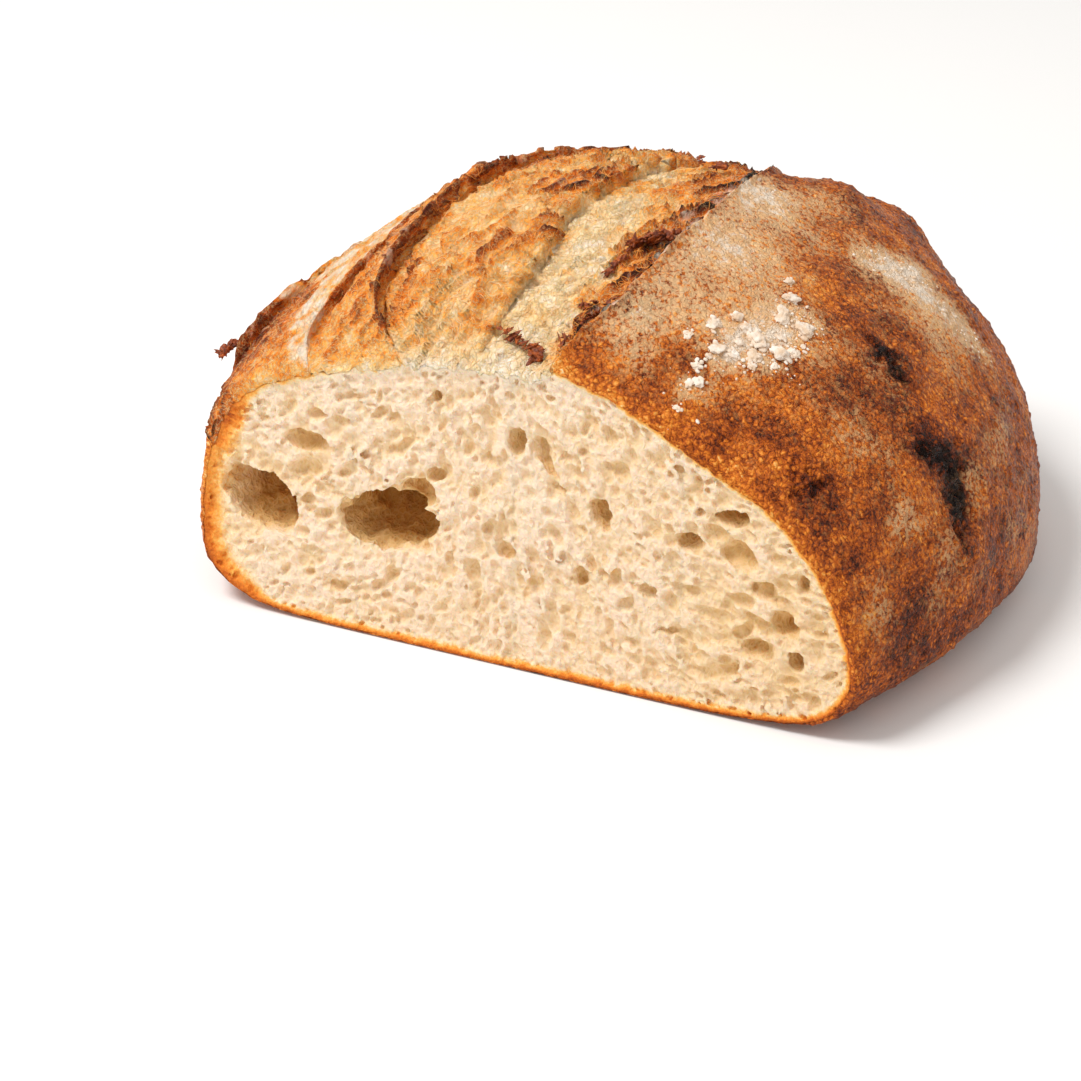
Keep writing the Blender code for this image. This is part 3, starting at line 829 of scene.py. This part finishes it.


# %% [markdown]
# ### Crumb
# Crumb is a wet foam that set, so light goes some way into it. The rims of its bubbles are nearly white
# and the insides warmer and darker, the more so the deeper they are: partly the smoother skin of a bubble,
# partly painted shade and bounced light. At the very edge it turns into crust.

# %% Crumb material
def crumb_material():
    material, tree, shader, place = new_material("open wheat crumb")
    depth = add(tree, "Attribute", attribute_name="depth").outputs["Fac"]
    baked = add(tree, "Attribute", attribute_name="baked").outputs["Fac"]
    web = {"Vector": place, "Scale": per(0.9), "Detail": 4.0, "Roughness": 0.65, "Distortion": 0.2}
    web = add(tree, "TexNoise", web)
    warp = add(tree, "TexNoise", {"Vector": place, "Scale": per(2.4), "Detail": 3.0})
    warp = add(tree, "VectorMath", {0: warp.outputs["Color"], 1: (0.5, 0.5, 0.5)}, operation="SUBTRACT")
    bent = add(tree, "VectorMath", {0: warp, 1: (1.6 * MM,) * 3, 2: place}, operation="MULTIPLY_ADD")
    bent = add(tree, "Mapping", {"Vector": bent, "Scale": (1.0, 1.0, 0.7), "Rotation": (0, 0.5, 0)})
    cells = add(tree, "TexVoronoi", {"Vector": bent, "Scale": per(1.5)}, feature="DISTANCE_TO_EDGE")
    cell = add(tree, "MapRange", {0: cells.outputs["Distance"], 1: 0.02, 2: 0.32})
    patch = add(tree, "TexNoise", {"Vector": place, "Scale": per(12), "Detail": 3.0})
    fine = add(tree, "MapRange", {0: web.outputs["Fac"], 1: 0.3, 2: 0.7, 3: 0.07, 4: -0.07})
    # Painted shade: the sunken pits of the bump pattern are coloured darker.
    pit_shade = add(tree, "MapRange", {0: cell, 3: -0.07, 4: 0.09})
    # The depth attribute darkens the crumb deeper in its bubbles, partly its own tone and partly painted shade.
    depth_and_shade = add(tree, "Math", {0: depth, 1: fine}, operation="ADD")
    depth_and_shade = add(tree, "Math", {0: depth_and_shade, 1: pit_shade}, operation="ADD")
    wave = add(tree, "MapRange", {0: patch.outputs["Fac"], 1: 0.3, 2: 0.7, 3: -0.07, 4: 0.07})
    depth_and_shade = add(tree, "Math", {0: depth_and_shade, 1: wave}, operation="ADD")
    ramp = add(tree, "ValToRGB", {"Fac": depth_and_shade})
    stops = ramp.color_ramp.elements
    tones = ((0.0, "#f8dec2"), (0.2, "#f5d6ac"), (0.55, "#e8c084"), (1.0, "#ca9044"))
    while len(stops) < len(tones):
        stops.new(0.5)
    for stop, (at, colour) in zip(stops, tones):
        stop.position = at
        stop.color = linear(colour)
    toast = add(tree, "Math", {0: baked, 1: fine}, operation="ADD")
    toast = bake_ramp(tree, toast)
    rind = add(tree, "MapRange", {0: baked, 1: 0.03, 2: 0.2})
    colour = add(tree, "Mix", {"Factor": rind, "A": ramp, "B": toast}, data_type="RGBA")
    sunk = add(tree, "Math", {0: cell, 1: -0.55}, operation="MULTIPLY")
    relief = add(tree, "Math", {0: web.outputs["Fac"], 1: sunk}, operation="ADD")
    bump = add(tree, "Bump", {"Height": relief, "Distance": 0.6 * MM, "Strength": 0.8})
    tree.links.new(colour.outputs[2], shader.inputs["Base Color"])
    tree.links.new(bump.outputs[0], shader.inputs["Normal"])
    shader.inputs["Roughness"].default_value = 0.7
    shader.inputs["Specular IOR Level"].default_value = 0.25
    shader.inputs["Subsurface Weight"].default_value = 0.35
    shader.inputs["Subsurface Radius"].default_value = (2.4 * MM, 1.3 * MM, 0.6 * MM)
    shader.inputs["Subsurface Scale"].default_value = 1.0
    return material


# %% [markdown]
# ## The crust and the burst
# The skin ends at the cut with a thin rim that turns in behind the crumb's edge, as a knife leaves it.
# At the back all sections close up to one point.

# %% Skin pieces
RIM_STEPS = ((0.15, 0.05), (0.9, 2.5))  # how far in and how far behind the cut, in millimetres


def with_ends(places, looks):
    """Adds the rim's rows in front and the closing point at the back."""
    front = places[0]
    along = np.gradient(front, axis=0)
    inwards = unit(np.stack([along[:, 2], 0 * along[:, 0], -along[:, 0]], -1))
    rim = [front + inwards * inset * MM + np.array((0, behind, 0)) * MM for inset, behind in RIM_STEPS]
    for row in rim:
        row[:, 2] = np.maximum(row[:, 2], 0)
    tip = places[-1].mean(0)
    tip[1] = BACK_Y
    places = np.concatenate([rim[::-1], places, np.broadcast_to(tip, (1, *front.shape))])
    looks = {name: np.concatenate([v[:1], v[:1], v, v[-1:]]) for name, v in looks.items()}
    return places, looks


whole_places, whole_looks = with_ends(skin_places, {"baked": baked, "floured": floured})


def skin_piece(name, columns, material):
    looks = {look: values[:, columns] for look, values in whole_looks.items()}
    return finished(name, grid_mesh(name, whole_places[:, columns], looks), material)


crust = crust_material()
crust_left = skin_piece("crust_left", slice(0, LEFT_LIP + 1), crust)
crust_right = skin_piece("crust_right", slice(RIGHT_LIP, None), crust)
burst = skin_piece("burst", BURST, torn_material())

# %% [markdown]
# ## The crumb
# Crumb is what is left between bubbles, so it is made that way: a solid with thousands of bubbles taken
# out of it. The solid is a block of small cubes, each with its distance to the nearest surface, which
# suits this well, as a bubble is taken out with one comparison. A mesh is then drawn through it.

# %% The block and its outline
VOXEL = 0.4 * MM
CRUMB_DEPTH = 26 * MM
CRUMB_INSET = 0.1 * MM
outline = skin_places[0][:, [0, 2]]
corner = np.array((outline[:, 0].min() - 1 * MM, CUT_Y - 1 * MM, -1 * MM))
extent = (np.ptp(outline[:, 0]) + 2 * MM, CRUMB_DEPTH + 1 * MM, outline[:, 1].max() + 2 * MM)
counts = [int(length / VOXEL) + 1 for length in extent]
axes = [corner[i] + np.arange(counts[i]) * VOXEL for i in range(3)]


def outline_distance(points, outline, values):
    """Distance to a closed outline, a minus inside, and the value of the nearest of its points."""
    best = np.full(len(points), 1.0)
    value = np.zeros(len(points))
    inside = np.zeros(len(points), bool)
    for start, end, here in zip(outline, np.roll(outline, -1, axis=0), values):
        along, away = end - start, points - start
        share = np.clip(away @ along / max(along @ along, 1e-12), 0, 1)
        distance = np.linalg.norm(away - share[:, None] * along, axis=1)
        value = np.where(distance < best, here, value)
        best = np.minimum(best, distance)
        if start[1] != end[1]:
            crossing = (start[1] > points[:, 1]) != (end[1] > points[:, 1])
            at = start[0] + (points[:, 1] - start[1]) / (end[1] - start[1]) * along[0]
            inside ^= crossing & (points[:, 0] < at)
    return np.where(inside, -best, best), value


flat = np.stack(np.meshgrid(axes[0], axes[2], indexing="ij"), -1).reshape(-1, 2)
edge_distance, edge_baked = outline_distance(flat, outline[::2], baked[0][::2])
edge_distance = edge_distance.reshape(counts[0], counts[2])
edge_baked = edge_baked.reshape(counts[0], counts[2])
print("block of", counts, "cubes")

# %% [markdown]
# Grid noise for a block this large is made by stretching a small block of random numbers, one direction
# at a time. It bends the bubbles out of round and roughens the cut.

# %% Noise for the block
def stretch_weights(count, step, size):
    """Weights that turn random numbers size apart into a smooth row of numbers step apart."""
    place = np.arange(count) * step / size
    cell = np.floor(place).astype(int)
    part = smooth_step(place - cell)
    weights = np.zeros((count, cell.max() + 2))
    weights[np.arange(count), cell] = 1 - part
    weights[np.arange(count), cell + 1] = part
    return weights


def block_noise(shape, step, size, chance):
    weights = [stretch_weights(count, step, size) for count in shape]
    block = chance.uniform(-1, 1, [w.shape[1] for w in weights])
    for w in weights:
        block = np.moveaxis(np.tensordot(w, block, axes=(1, 0)), 0, -1)
    return block.astype(np.float32)


chance = np.random.default_rng(11)
bend = []
for axis in range(3):
    slow = block_noise(counts, VOXEL, 5 * MM, chance) * 0.9 * MM
    medium = block_noise(counts, VOXEL, 2.2 * MM, chance) * 0.5 * MM
    fast = block_noise(counts, VOXEL, 1.1 * MM, chance) * 0.22 * MM
    bend.append(slow + medium + fast)
print("bend in mm:", round(float(np.abs(bend[0]).max()) / MM, 2))

# %% [markdown]
# The large holes are listed one by one and the small ones placed by chance. The dough rose most in the
# middle, so bubbles there stand upright, and near the crust they are small and lie along it.

# %% Holes and bubbles
HOLES = (
    # x, z, half width, half height, depth behind the cut, tilt in degrees
    (-75, 35, 13, 9, 21, -24),
    (-36, 36, 15, 9, 24, 8),
    (-27, 46, 6, 4, 9, 20),
    (2.5, 68, 3.2, 4.6, 6, 10),
    (11, 65, 2.4, 6.0, 5, 30),
    (26.5, 51.5, 3.3, 4.8, 7, 22),
    (51.5, 49.5, 3.6, 3.0, 6, 0),
    (62.5, 58.5, 5.0, 3.0, 7, -4),
    (65, 48, 6.0, 3.8, 5, -12),
    (71.5, 39.5, 4.4, 3.2, 5, 0),
    (77.5, 31, 4.4, 3.2, 6, -24),
    (70.5, 22, 4.8, 3.2, 5, 0),
    (80.5, 21, 2.4, 3.6, 6, 10),
    (82, 43, 2.4, 3.4, 5, 18),
    (-60, 55.5, 7.0, 3.4, 5, 4),
    (-20, 76, 1.5, 1.9, 4, 0),
    (-49, 63, 3.0, 2.2, 3.5, 20),
    (-61, 47, 5.8, 3.8, 3.5, 5),
    (-48, 49, 3.6, 2.8, 2.5, 20),
    (-21, 53, 3.4, 2.4, 4, 24),
    (0, 35, 3.4, 3.2, 4, 0),
    (21, 32, 2.6, 3.6, 4, -10),
    (8, 26.5, 2.6, 2.4, 3, 0),
    (52, 35, 3.8, 2.0, 3, 0),
    (86, 25, 3.0, 3.0, 2.2, 0),
    (57, 12, 6.0, 2.6, 3, 0),
    (87, 10, 1.9, 2.2, 3, 0),
    (59, 29, 6.0, 2.6, 2.6, -8),
    (46, 21, 5.0, 1.3, 3, 0),
    (34, 27, 2.6, 2.0, 3, 10),
    (52, 64, 4.4, 2.6, 2.2, -18),
    (14, 57, 2.0, 3.4, 3, 35),
)
BUBBLES = 5200
SMALLEST = 0.55 * MM
MEAN_SPREAD = 0.35 * MM
LARGEST = 2.0 * MM
ROUNDING = 0.3 * MM

CUT_WAVES = ((9, 0.5), (3.2, 0.25))
PORES = ((2.1, 0.32), (1.2, 0.40))  # for both, size in millimetres and depth


def pores(points, size, seed):
    """Depth of close-set round pits, in cell sizes."""
    bent = points + 0.35 * size * rough(points, 0.9 * size, 2, seed=seed)[..., None]
    near, own = nearest_cell(bent, size, seed)
    return np.sqrt(np.maximum((0.35 + 0.4 * own) ** 2 - near**2, 0))


front = np.full((counts[0], 1, counts[2]), CUT_Y + 0.4 * MM)
for size, depth in CUT_WAVES:
    front = front + block_noise(front.shape, VOXEL, size * MM, chance) * depth * MM
on_cut = np.stack(np.meshgrid(axes[0], [CUT_Y], axes[2], indexing="ij"), -1)
for seed, (size, depth) in enumerate(PORES):
    front = front + pores(on_cut, size * MM, seed) * size * depth * MM
flush = smooth_step(-edge_distance / (2.5 * MM))[:, None, :]
front = CUT_Y + 0.1 * MM + np.maximum(front - CUT_Y - 0.1 * MM, 0) * flush
solid = np.maximum((edge_distance + CRUMB_INSET)[:, None, :], front - axes[1][None, :, None])
solid = solid.astype(np.float32)


def take_out(centre, radii, tilt, bending=1.0):
    """Takes an ellipsoid, turned about Y, out of the block."""
    reach = max(radii) + 1.6 * MM
    lows = [max(int((c - reach - a[0]) / VOXEL), 0) for c, a in zip(centre, axes)]
    highs = [min(int((c + reach - a[0]) / VOXEL) + 2, n) for c, a, n in zip(centre, axes, counts)]
    if any(high <= low for low, high in zip(lows, highs)):
        return
    part = tuple(slice(low, high) for low, high in zip(lows, highs))
    shapes = ((-1, 1, 1), (1, -1, 1), (1, 1, -1))
    x, y, z = (
        axes[i][part[i]].reshape(shapes[i]) - centre[i] + bend[i][part] * bending for i in range(3)
    )
    turn = math.radians(tilt)
    across = (x * math.cos(turn) + z * math.sin(turn)) / radii[0]
    up = (z * math.cos(turn) - x * math.sin(turn)) / radii[2]
    distance = (np.sqrt(across**2 + (y / radii[1]) ** 2 + up**2) - 1) * min(radii)
    there = solid[part]
    overlap = np.maximum(ROUNDING - np.abs(there + distance), 0)
    solid[part] = np.maximum(there, -distance) + overlap**2 / (4 * ROUNDING)


for x, z, half_across, half_up, depth, tilt in HOLES:
    ragged = 1.3 if depth < 10 else 1.8
    take_out((x * MM, CUT_Y, z * MM), (half_across * MM, depth * MM, half_up * MM), tilt, ragged)

LEANS = ((-90, 40), (-45, 25), (-10, 80), (10, 112), (40, 125), (62, 165), (95, 190))  # X and tilt
for i in range(BUBBLES):
    x = chance.uniform(outline[:, 0].min(), outline[:, 0].max())
    z = chance.uniform(0, outline[:, 1].max())
    column_x = min(int((x - axes[0][0]) / VOXEL), counts[0] - 1)
    column_z = min(int((z - axes[2][0]) / VOXEL), counts[2] - 1)
    inset = -edge_distance[column_x, column_z]
    if inset < 1.2 * MM:
        continue
    radius = min(SMALLEST + chance.exponential(MEAN_SPREAD), LARGEST, 0.3 * MM + 0.16 * inset)
    long = radius * chance.uniform(1.0, 2.2)
    behind = radius * chance.uniform(-0.9, 0.2)
    tilt = np.interp(x / MM, *zip(*LEANS)) + chance.normal(0, 18)
    take_out((x, CUT_Y + 0.7 * MM + behind, z), (long, radius * 1.2, radius), tilt, 0.8)
print("holes and bubbles:", len(HOLES), "and up to", BUBBLES)

# %% [markdown]
# The mesh is drawn where the block turns from solid to air. Its back and its sides lie behind the crust,
# so they are left off. It is split from left to right into four pieces, as one mesh this fine would be
# too heavy to store in one file. Their normals are taken before the split, so no seam shows.

# %% Crumb pieces
def crumb_surface():
    """Corners and quads of the crumb's surface, facing out."""
    grid = openvdb.FloatGrid(background=1.0)
    grid.copyFromArray(solid / VOXEL)
    corners, quads = grid.convertToQuads(isovalue=0.0)
    return corners * VOXEL + corner, quads


def look_up(field, points):
    """A field over X and Z at points of the surface."""
    i = np.clip(((points[:, 0] - axes[0][0]) / VOXEL).astype(int), 0, counts[0] - 1)
    k = np.clip(((points[:, 2] - axes[2][0]) / VOXEL).astype(int), 0, counts[2] - 1)
    return field[i, k]


corners, quads = crumb_surface()
corners[:, 2] = np.maximum(corners[:, 2], 0)
middles = corners[quads].mean(1)
hidden = (middles[:, 1] > CUT_Y + CRUMB_DEPTH - 1.5 * MM) | (
    (look_up(edge_distance, middles) > -CRUMB_INSET - 0.6 * VOXEL) & (middles[:, 1] > CUT_Y + 2.5 * MM)
)
quads = quads[~hidden]
normals = np.zeros(corners.shape)
diagonals = corners[quads]
areas = np.cross(diagonals[:, 2] - diagonals[:, 0], diagonals[:, 3] - diagonals[:, 1])
for i in range(4):
    np.add.at(normals, quads[:, i], areas)
normals = unit(normals)
print("crumb quads:", len(quads), " mean normal Y:", round(float(unit(areas)[:, 1].mean()), 2))

# Crumb deeper behind the cut gets darker and warmer: partly the smoother skin of its bubbles, partly painted shade and
# bounced light.
crumb_depth_and_shade = 1 - np.exp(-np.maximum(corners[:, 1] - CUT_Y - 0.6 * MM, 0) / (4.8 * MM))
# Painted shade: the crumb is made darker towards its right side.
crumb_depth_and_shade += 0.14 * smooth_step((corners[:, 0] - 15 * MM) / (60 * MM))
rind_distance = -look_up(edge_distance, corners) + 0.35 * MM * rough(corners, 2.5 * MM, 2, seed=21)
rind_baked = look_up(edge_baked, corners)
rind_width = (1.5 + 3.8 * smooth_step((-72 * MM - corners[:, 0]) / (10 * MM))) * MM
crumb_baked = rind_baked * np.exp(-(np.maximum(rind_distance - 0.2 * MM, 0) / rind_width) ** 1.2)
crumb = crumb_material()
shares = (corners[quads][:, :, 0].mean(1) - outline[:, 0].min()) / np.ptp(outline[:, 0])
crumb_pieces = []
CRUMB_NAMES = ("crumb_left", "crumb_mid_left", "crumb_mid_right", "crumb_right")
for i, name in enumerate(CRUMB_NAMES):
    chosen = quads[(shares * len(CRUMB_NAMES)).astype(int).clip(0, len(CRUMB_NAMES) - 1) == i]
    used, numbers = np.unique(chosen, return_inverse=True)
    mesh = bpy.data.meshes.new(name)
    mesh.from_pydata(corners[used].tolist(), [], numbers.reshape(-1, 4).tolist())
    # The depth attribute carries the depth behind the cut together with the painted shade.
    set_looks(mesh, {"depth": crumb_depth_and_shade[used], "baked": crumb_baked[used]})
    mesh.normals_split_custom_set_from_vertices(normals[used].tolist())
    crumb_pieces.append(finished(name, mesh, crumb))

# %% [markdown]
# ## Strings of torn dough
# Wet gluten pulls into threads that dry to gold before they snap. Each thread is a short curve that
# starts on the burst, bows out and comes back to it, with a thin round bevel, thinner at its ends.

# %% Torn strings
STRINGS = 3400
STRING_POINTS = 5


def sample(field, rows, columns):
    """The grid's values at places between its rows and columns."""
    rows = np.clip(rows, 0, field.shape[0] - 1.001)
    columns = np.clip(columns, 0, field.shape[1] - 1.001)
    i, j = rows.astype(int), columns.astype(int)
    a, b = (rows - i)[..., None], (columns - j)[..., None]
    upper = field[i, j] * (1 - b) + field[i, j + 1] * b
    lower = field[i + 1, j] * (1 - b) + field[i + 1, j + 1] * b
    return upper * (1 - a) + lower * a


def string_material():
    material, tree, shader, place = new_material("dried dough threads")
    baked = add(tree, "Attribute", attribute_name="baked").outputs["Fac"]
    tree.links.new(bake_ramp(tree, baked).outputs[0], shader.inputs["Base Color"])
    shader.inputs["Roughness"].default_value = 0.45
    shader.inputs["Specular IOR Level"].default_value = 0.3
    return material


burst_places = skin_places[:, BURST]
burst_torn = torn[:, BURST]
burst_out = grid_normals(burst_places)
weights = np.clip(burst_torn[:-2, 2:-2], 0, 1) ** 2 * np.exp(-((burst_places[:-2, 2:-2, 1] - CUT_Y) / (140 * MM)) ** 2)
picks = chance.choice(weights.size, STRINGS, p=(weights / weights.sum()).ravel())
rows, columns = np.unravel_index(picks, weights.shape)
heading = chance.uniform(0, 2 * math.pi, STRINGS)
length = chance.uniform(2.0, 6.0, STRINGS) * MM
along_share = np.linspace(-0.5, 0.5, STRING_POINTS)
turn = heading[:, None] + chance.normal(0, 1.2, STRINGS)[:, None] * along_share
row_step = np.linalg.norm(np.gradient(burst_places, axis=0), axis=-1)[rows, columns + 2]
column_step = np.linalg.norm(np.gradient(burst_places, axis=1), axis=-1)[rows, columns + 2]
path_rows = rows[:, None] + along_share * np.sin(turn) * (length / row_step)[:, None]
path_columns = columns[:, None] + 2 + along_share * np.cos(turn) * np.minimum(length / column_step, 14)[:, None]
bow = (0.25 - along_share**2) * 4 * chance.uniform(0.05, 0.3, STRINGS)[:, None] * MM
string_points = sample(burst_places, path_rows, path_columns)
string_points += sample(burst_out, path_rows, path_columns) * bow[..., None]
string_points = np.clip(string_points, (LOW.x, CUT_Y + 0.3 * MM, 0), (HIGH.x, BACK_Y - 0.3 * MM, HIGH.z - 0.3 * MM))

curve = bpy.data.curves.new("torn_strings", "CURVE")
curve.dimensions = "3D"
curve.bevel_depth = 0.085 * MM
curve.bevel_resolution = 0
for points in string_points:
    spline = curve.splines.new("POLY")
    spline.points.add(STRING_POINTS - 1)
    spline.points.foreach_set("co", np.concatenate([points, np.ones((STRING_POINTS, 1))], 1).ravel())
    spline.points.foreach_set("radius", 0.45 + 2.2 * (0.25 - along_share**2))
drawn = bpy.data.objects.new("torn_strings", curve)
strings_mesh = bpy.data.meshes.new_from_object(drawn)
bpy.data.objects.remove(drawn)
string_baked = 0.45 * sample(baked[:, BURST, None], path_rows, path_columns).mean((1, 2))
string_baked += chance.uniform(0, 0.12, STRINGS)
set_looks(strings_mesh, {"baked": np.repeat(string_baked, len(strings_mesh.vertices) // STRINGS)})
strings = finished("torn_strings", strings_mesh, string_material())

# %% [markdown]
# ## Charred chips and flour
# Thin shreds of crust that stuck out over the tear burned to dark chips. The flour of the basket caked
# into small lumps. Both start as spheres: a chip is drawn out thin and torn by noise, a lump is only
# dented, and the same mesh function serves both.

# %% Lumps and chips
def lumps_mesh(name, places):
    """Joins spheres, each stretched along its own axes, roughened, and put in place."""
    bm = bmesh.new()
    for seed, (centre, axes3, radii, level, roughness) in enumerate(places):
        made = bmesh.ops.create_icosphere(bm, subdivisions=level, radius=1)["verts"]
        shape = np.array([vert.co for vert in made])
        grown = 1 + roughness * rough(shape, 0.7, 3 if level > 2 else 1, seed=seed % 50)
        moved = centre + (shape * grown[:, None] * np.array(radii)) @ axes3
        moved = np.clip(moved, (LOW.x, LOW.y, 0), (HIGH.x, HIGH.y, HIGH.z))
        for vert, place in zip(made, moved):
            vert.co = place
    mesh = bpy.data.meshes.new(name)
    bm.to_mesh(mesh)
    bm.free()
    return mesh


def frame_at(out, towards):
    """Three axes: towards as far as the surface allows, across it, and out."""
    first = unit(np.array(towards) - out * (np.array(towards) @ out))
    return np.array((first, np.cross(out, first), out))


def on_skin(x, y):
    """Place and outward direction of the skin over X and Y, in millimetres."""
    depth_share = (abs(y * MM - MIDDLE_Y) / HALF_DEPTH) ** PLAN_POWER
    spread = min(abs(x * MM / HALF_WIDTH) ** PLAN_POWER + depth_share, 1)
    z = GIRTH_HEIGHT + (HEIGHT - GIRTH_HEIGHT) * math.sqrt(1 - spread ** (2 / PLAN_POWER))
    away = np.linalg.norm(near_skin - (x * MM, y * MM, z), axis=-1)
    i, j = np.unravel_index(away.argmin(), away.shape)
    return near_skin[i, j], skin_out[i, j]


near_skin = skin_places[::2, ::2]
skin_out = grid_normals(skin_places)[::2, ::2]
CHIPS = (
    # from x, y, height over the skin, to x, y, height, half width, in millimetres
    ((-4.5, -90, 3.0), (4.0, -94, 1.4), 1.3),
    ((3.0, -93, 1.2), (8.0, -95, 1.0), 2.0),
    ((11.0, -64, 1.0), (17.0, -52, 2.2), 1.5),
    ((15.0, -56, 1.6), (20.0, -44, 2.2), 2.2),
    ((19.0, -47, 2.2), (23.0, -41, 1.6), 1.5),
    ((10.0, -78, 0.8), (13.5, -75.5, 0.8), 1.3),
    ((11.0, -93, 0.8), (16.0, -84, 1.0), 1.4),
    ((15.0, -84, 1.0), (21.5, -72, 1.2), 1.3),
    ((10.0, 12, 1.5), (9.0, 15, 4.5), 1.0),
    ((12.0, 13, 1.5), (15.0, 13, 2.5), 1.3),
)
LUMP_STEP = 0.5  # millimetres between the lumps of a chip


def char_material():
    material, tree, shader, place = new_material("charred crust")
    tone = add(tree, "TexNoise", {"Vector": place, "Scale": per(1.6), "Detail": 4.0, "Roughness": 0.7})
    bump = add(tree, "Bump", {"Height": tone.outputs["Fac"], "Distance": 0.6 * MM, "Strength": 1.0})
    tone = add(tree, "MapRange", {0: tone.outputs["Fac"], 1: 0.35, 2: 0.7, 3: 0.80, 4: 0.48})
    tree.links.new(bake_ramp(tree, tone).outputs[0], shader.inputs["Base Color"])
    tree.links.new(bump.outputs[0], shader.inputs["Normal"])
    shader.inputs["Roughness"].default_value = 0.45
    return material


chip_places = []
HORN_ROW = int(np.searchsorted(y_rows, -64 * MM))
HORN = np.array((-4.5, -4.0, -4.5)) * MM
horn_start = skin_places[HORN_ROW, LEFT_LIP]
chip_paths = [(horn_start, horn_start + HORN, burst_out[HORN_ROW, 0], 1.6)]
for start, end, half_across in CHIPS:
    (place0, out0), (place1, out1) = on_skin(*start[:2]), on_skin(*end[:2])
    chip_paths.append((place0 + out0 * start[2] * MM, place1 + out1 * end[2] * MM, out0, half_across))
for place0, place1, out0, half_across in chip_paths:
    count = int(np.linalg.norm(place1 - place0) / (LUMP_STEP * MM)) + 2
    for share in chance.uniform(0, 1, count + 2):
        taper = 0.4 + 0.6 * math.sin(math.pi * share)
        wide = half_across * taper * chance.uniform(0.3, 0.7) * MM
        place = place0 + (place1 - place0) * share + chance.normal(0, 0.35 * half_across * taper * MM, 3)
        axes3 = frame_at(unit(out0 + chance.normal(0, 0.4, 3)), place1 - place0 + chance.normal(0, 5.0 * MM, 3))
        sizes = (wide * chance.uniform(1.4, 2.6), wide * chance.uniform(0.6, 1.2), wide * 0.35)
        chip_places.append((place, axes3, sizes, 3, 0.7))
chips = finished("charred_chips", lumps_mesh("charred_chips", chip_places), char_material())

# %% Flour lumps
CAKES = (
    # x, y, half size in millimetres
    (58, -46, 2.1), (58, -54, 2.2), (64, -54, 2.7), (56, -66, 2.7), (48, -75, 2.0), (57, -71, 2.0),
    (62, -66, 2.8), (45, -68, 2.3), (48, -63, 2.0), (40, -75, 1.7), (54, -40, 1.5), (46, -82, 1.6),
    (48, -86, 1.9), (45, -88, 1.6), (45, -94, 1.3), (57, -75, 1.2), (52, -74, 1.9), (52, -65, 1.8),
    (65, -63, 1.6), (60, -60, 1.5), (52, -70, 1.3), (62, -70, 1.3), (47, -78, 1.1), (66, -59, 1.2),
)
GRAINS = 700


def flour_material():
    material, tree, shader, place = new_material("caked white flour")
    tone = add(tree, "TexNoise", {"Vector": place, "Scale": per(2.5), "Detail": 3.0})
    tone = add(tree, "MapRange", {0: tone.outputs["Fac"], 1: 0.35, 2: 0.65})
    colours = {"Factor": tone, "A": linear("#f7ebdd"), "B": linear("#e3c6a8")}
    colour = add(tree, "Mix", colours, data_type="RGBA")
    fine = add(tree, "TexNoise", {"Vector": place, "Scale": per(0.7), "Detail": 3.0})
    bump = add(tree, "Bump", {"Height": fine.outputs["Fac"], "Distance": 0.4 * MM, "Strength": 0.8})
    tree.links.new(colour.outputs[2], shader.inputs["Base Color"])
    tree.links.new(bump.outputs[0], shader.inputs["Normal"])
    shader.inputs["Roughness"].default_value = 0.95
    shader.inputs["Specular IOR Level"].default_value = 0.15
    return material


def flat_lump(x, y, size, level, roughness):
    place, out = on_skin(x, y)
    turn = chance.uniform(0, 2 * math.pi)
    axes3 = frame_at(out, (math.cos(turn), math.sin(turn), 0.1))
    radii = (size * chance.uniform(0.9, 1.5) * MM, size * MM, size * chance.uniform(0.35, 0.6) * MM)
    return place + out * radii[2] * 0.3, axes3, radii, level, roughness


lump_places = []
for x, y, size in CAKES:
    lump_places.append(flat_lump(x, y, size * 0.75, 4, 0.5))
    for i in range(int(3 + 3 * size)):
        here = chance.normal((x, y), 0.55 * size)
        lump_places.append(flat_lump(*here, size * chance.uniform(0.12, 0.4), 2, 0.45))
for place, reach, more in FLOURINGS:
    for i in range(int(GRAINS * max(more - 0.5, 0) / 3)):
        x, y = chance.normal(place[:2], reach * 0.5)
        lump_places.append(flat_lump(x, y, 0.12 + chance.exponential(0.12), 1, 0.0))
flour = finished("flour_lumps", lumps_mesh("flour_lumps", lump_places), flour_material())

# %% [markdown]
# ## Floor and light
# A pale floor and a white room fill the shadows, and one large soft light from above and a little in
# front gives the loaf its form. The holes in the crumb stay dark at their tops, as the light comes down.

# %% Floor, light and colour
bpy.context.scene.view_settings.view_transform = "Standard"
bm = bmesh.new()
bmesh.ops.create_grid(bm, x_segments=1, y_segments=1, size=4)
bmesh.ops.translate(bm, verts=bm.verts, vec=(0, 0, -0.5 * MM))
floor_mesh = bpy.data.meshes.new("floor")
bm.to_mesh(floor_mesh)
bm.free()
floor_material = bpy.data.materials.new("pale studio floor")
floor_material.use_nodes = True
floor_shader = floor_material.node_tree.nodes["Principled BSDF"]
floor_shader.inputs["Base Color"].default_value = linear("#fbfaf8")
floor_shader.inputs["Roughness"].default_value = 0.9
floor_mesh.materials.append(floor_material)
floor = bpy.data.objects.new("floor", floor_mesh)
bpy.context.scene.collection.objects.link(floor)

world = bpy.data.worlds.new("white room")
world.use_nodes = True
world.node_tree.nodes["Background"].inputs["Color"].default_value = (1.0, 0.98, 0.96, 1)
world.node_tree.nodes["Background"].inputs["Strength"].default_value = 0.68
bpy.context.scene.world = world


def soft_light(name, place, size, power):
    data = bpy.data.lights.new(name, "AREA")
    data.shape = "DISK"
    data.size = size
    data.energy = power
    light = bpy.data.objects.new(name, data)
    light.location = place
    light.rotation_euler = (-Vector(place)).to_track_quat("-Z", "Y").to_euler()
    bpy.context.scene.collection.objects.link(light)
    return light


soft_light("key", (-0.45, -0.5, 1.2), 0.5, 12.5)
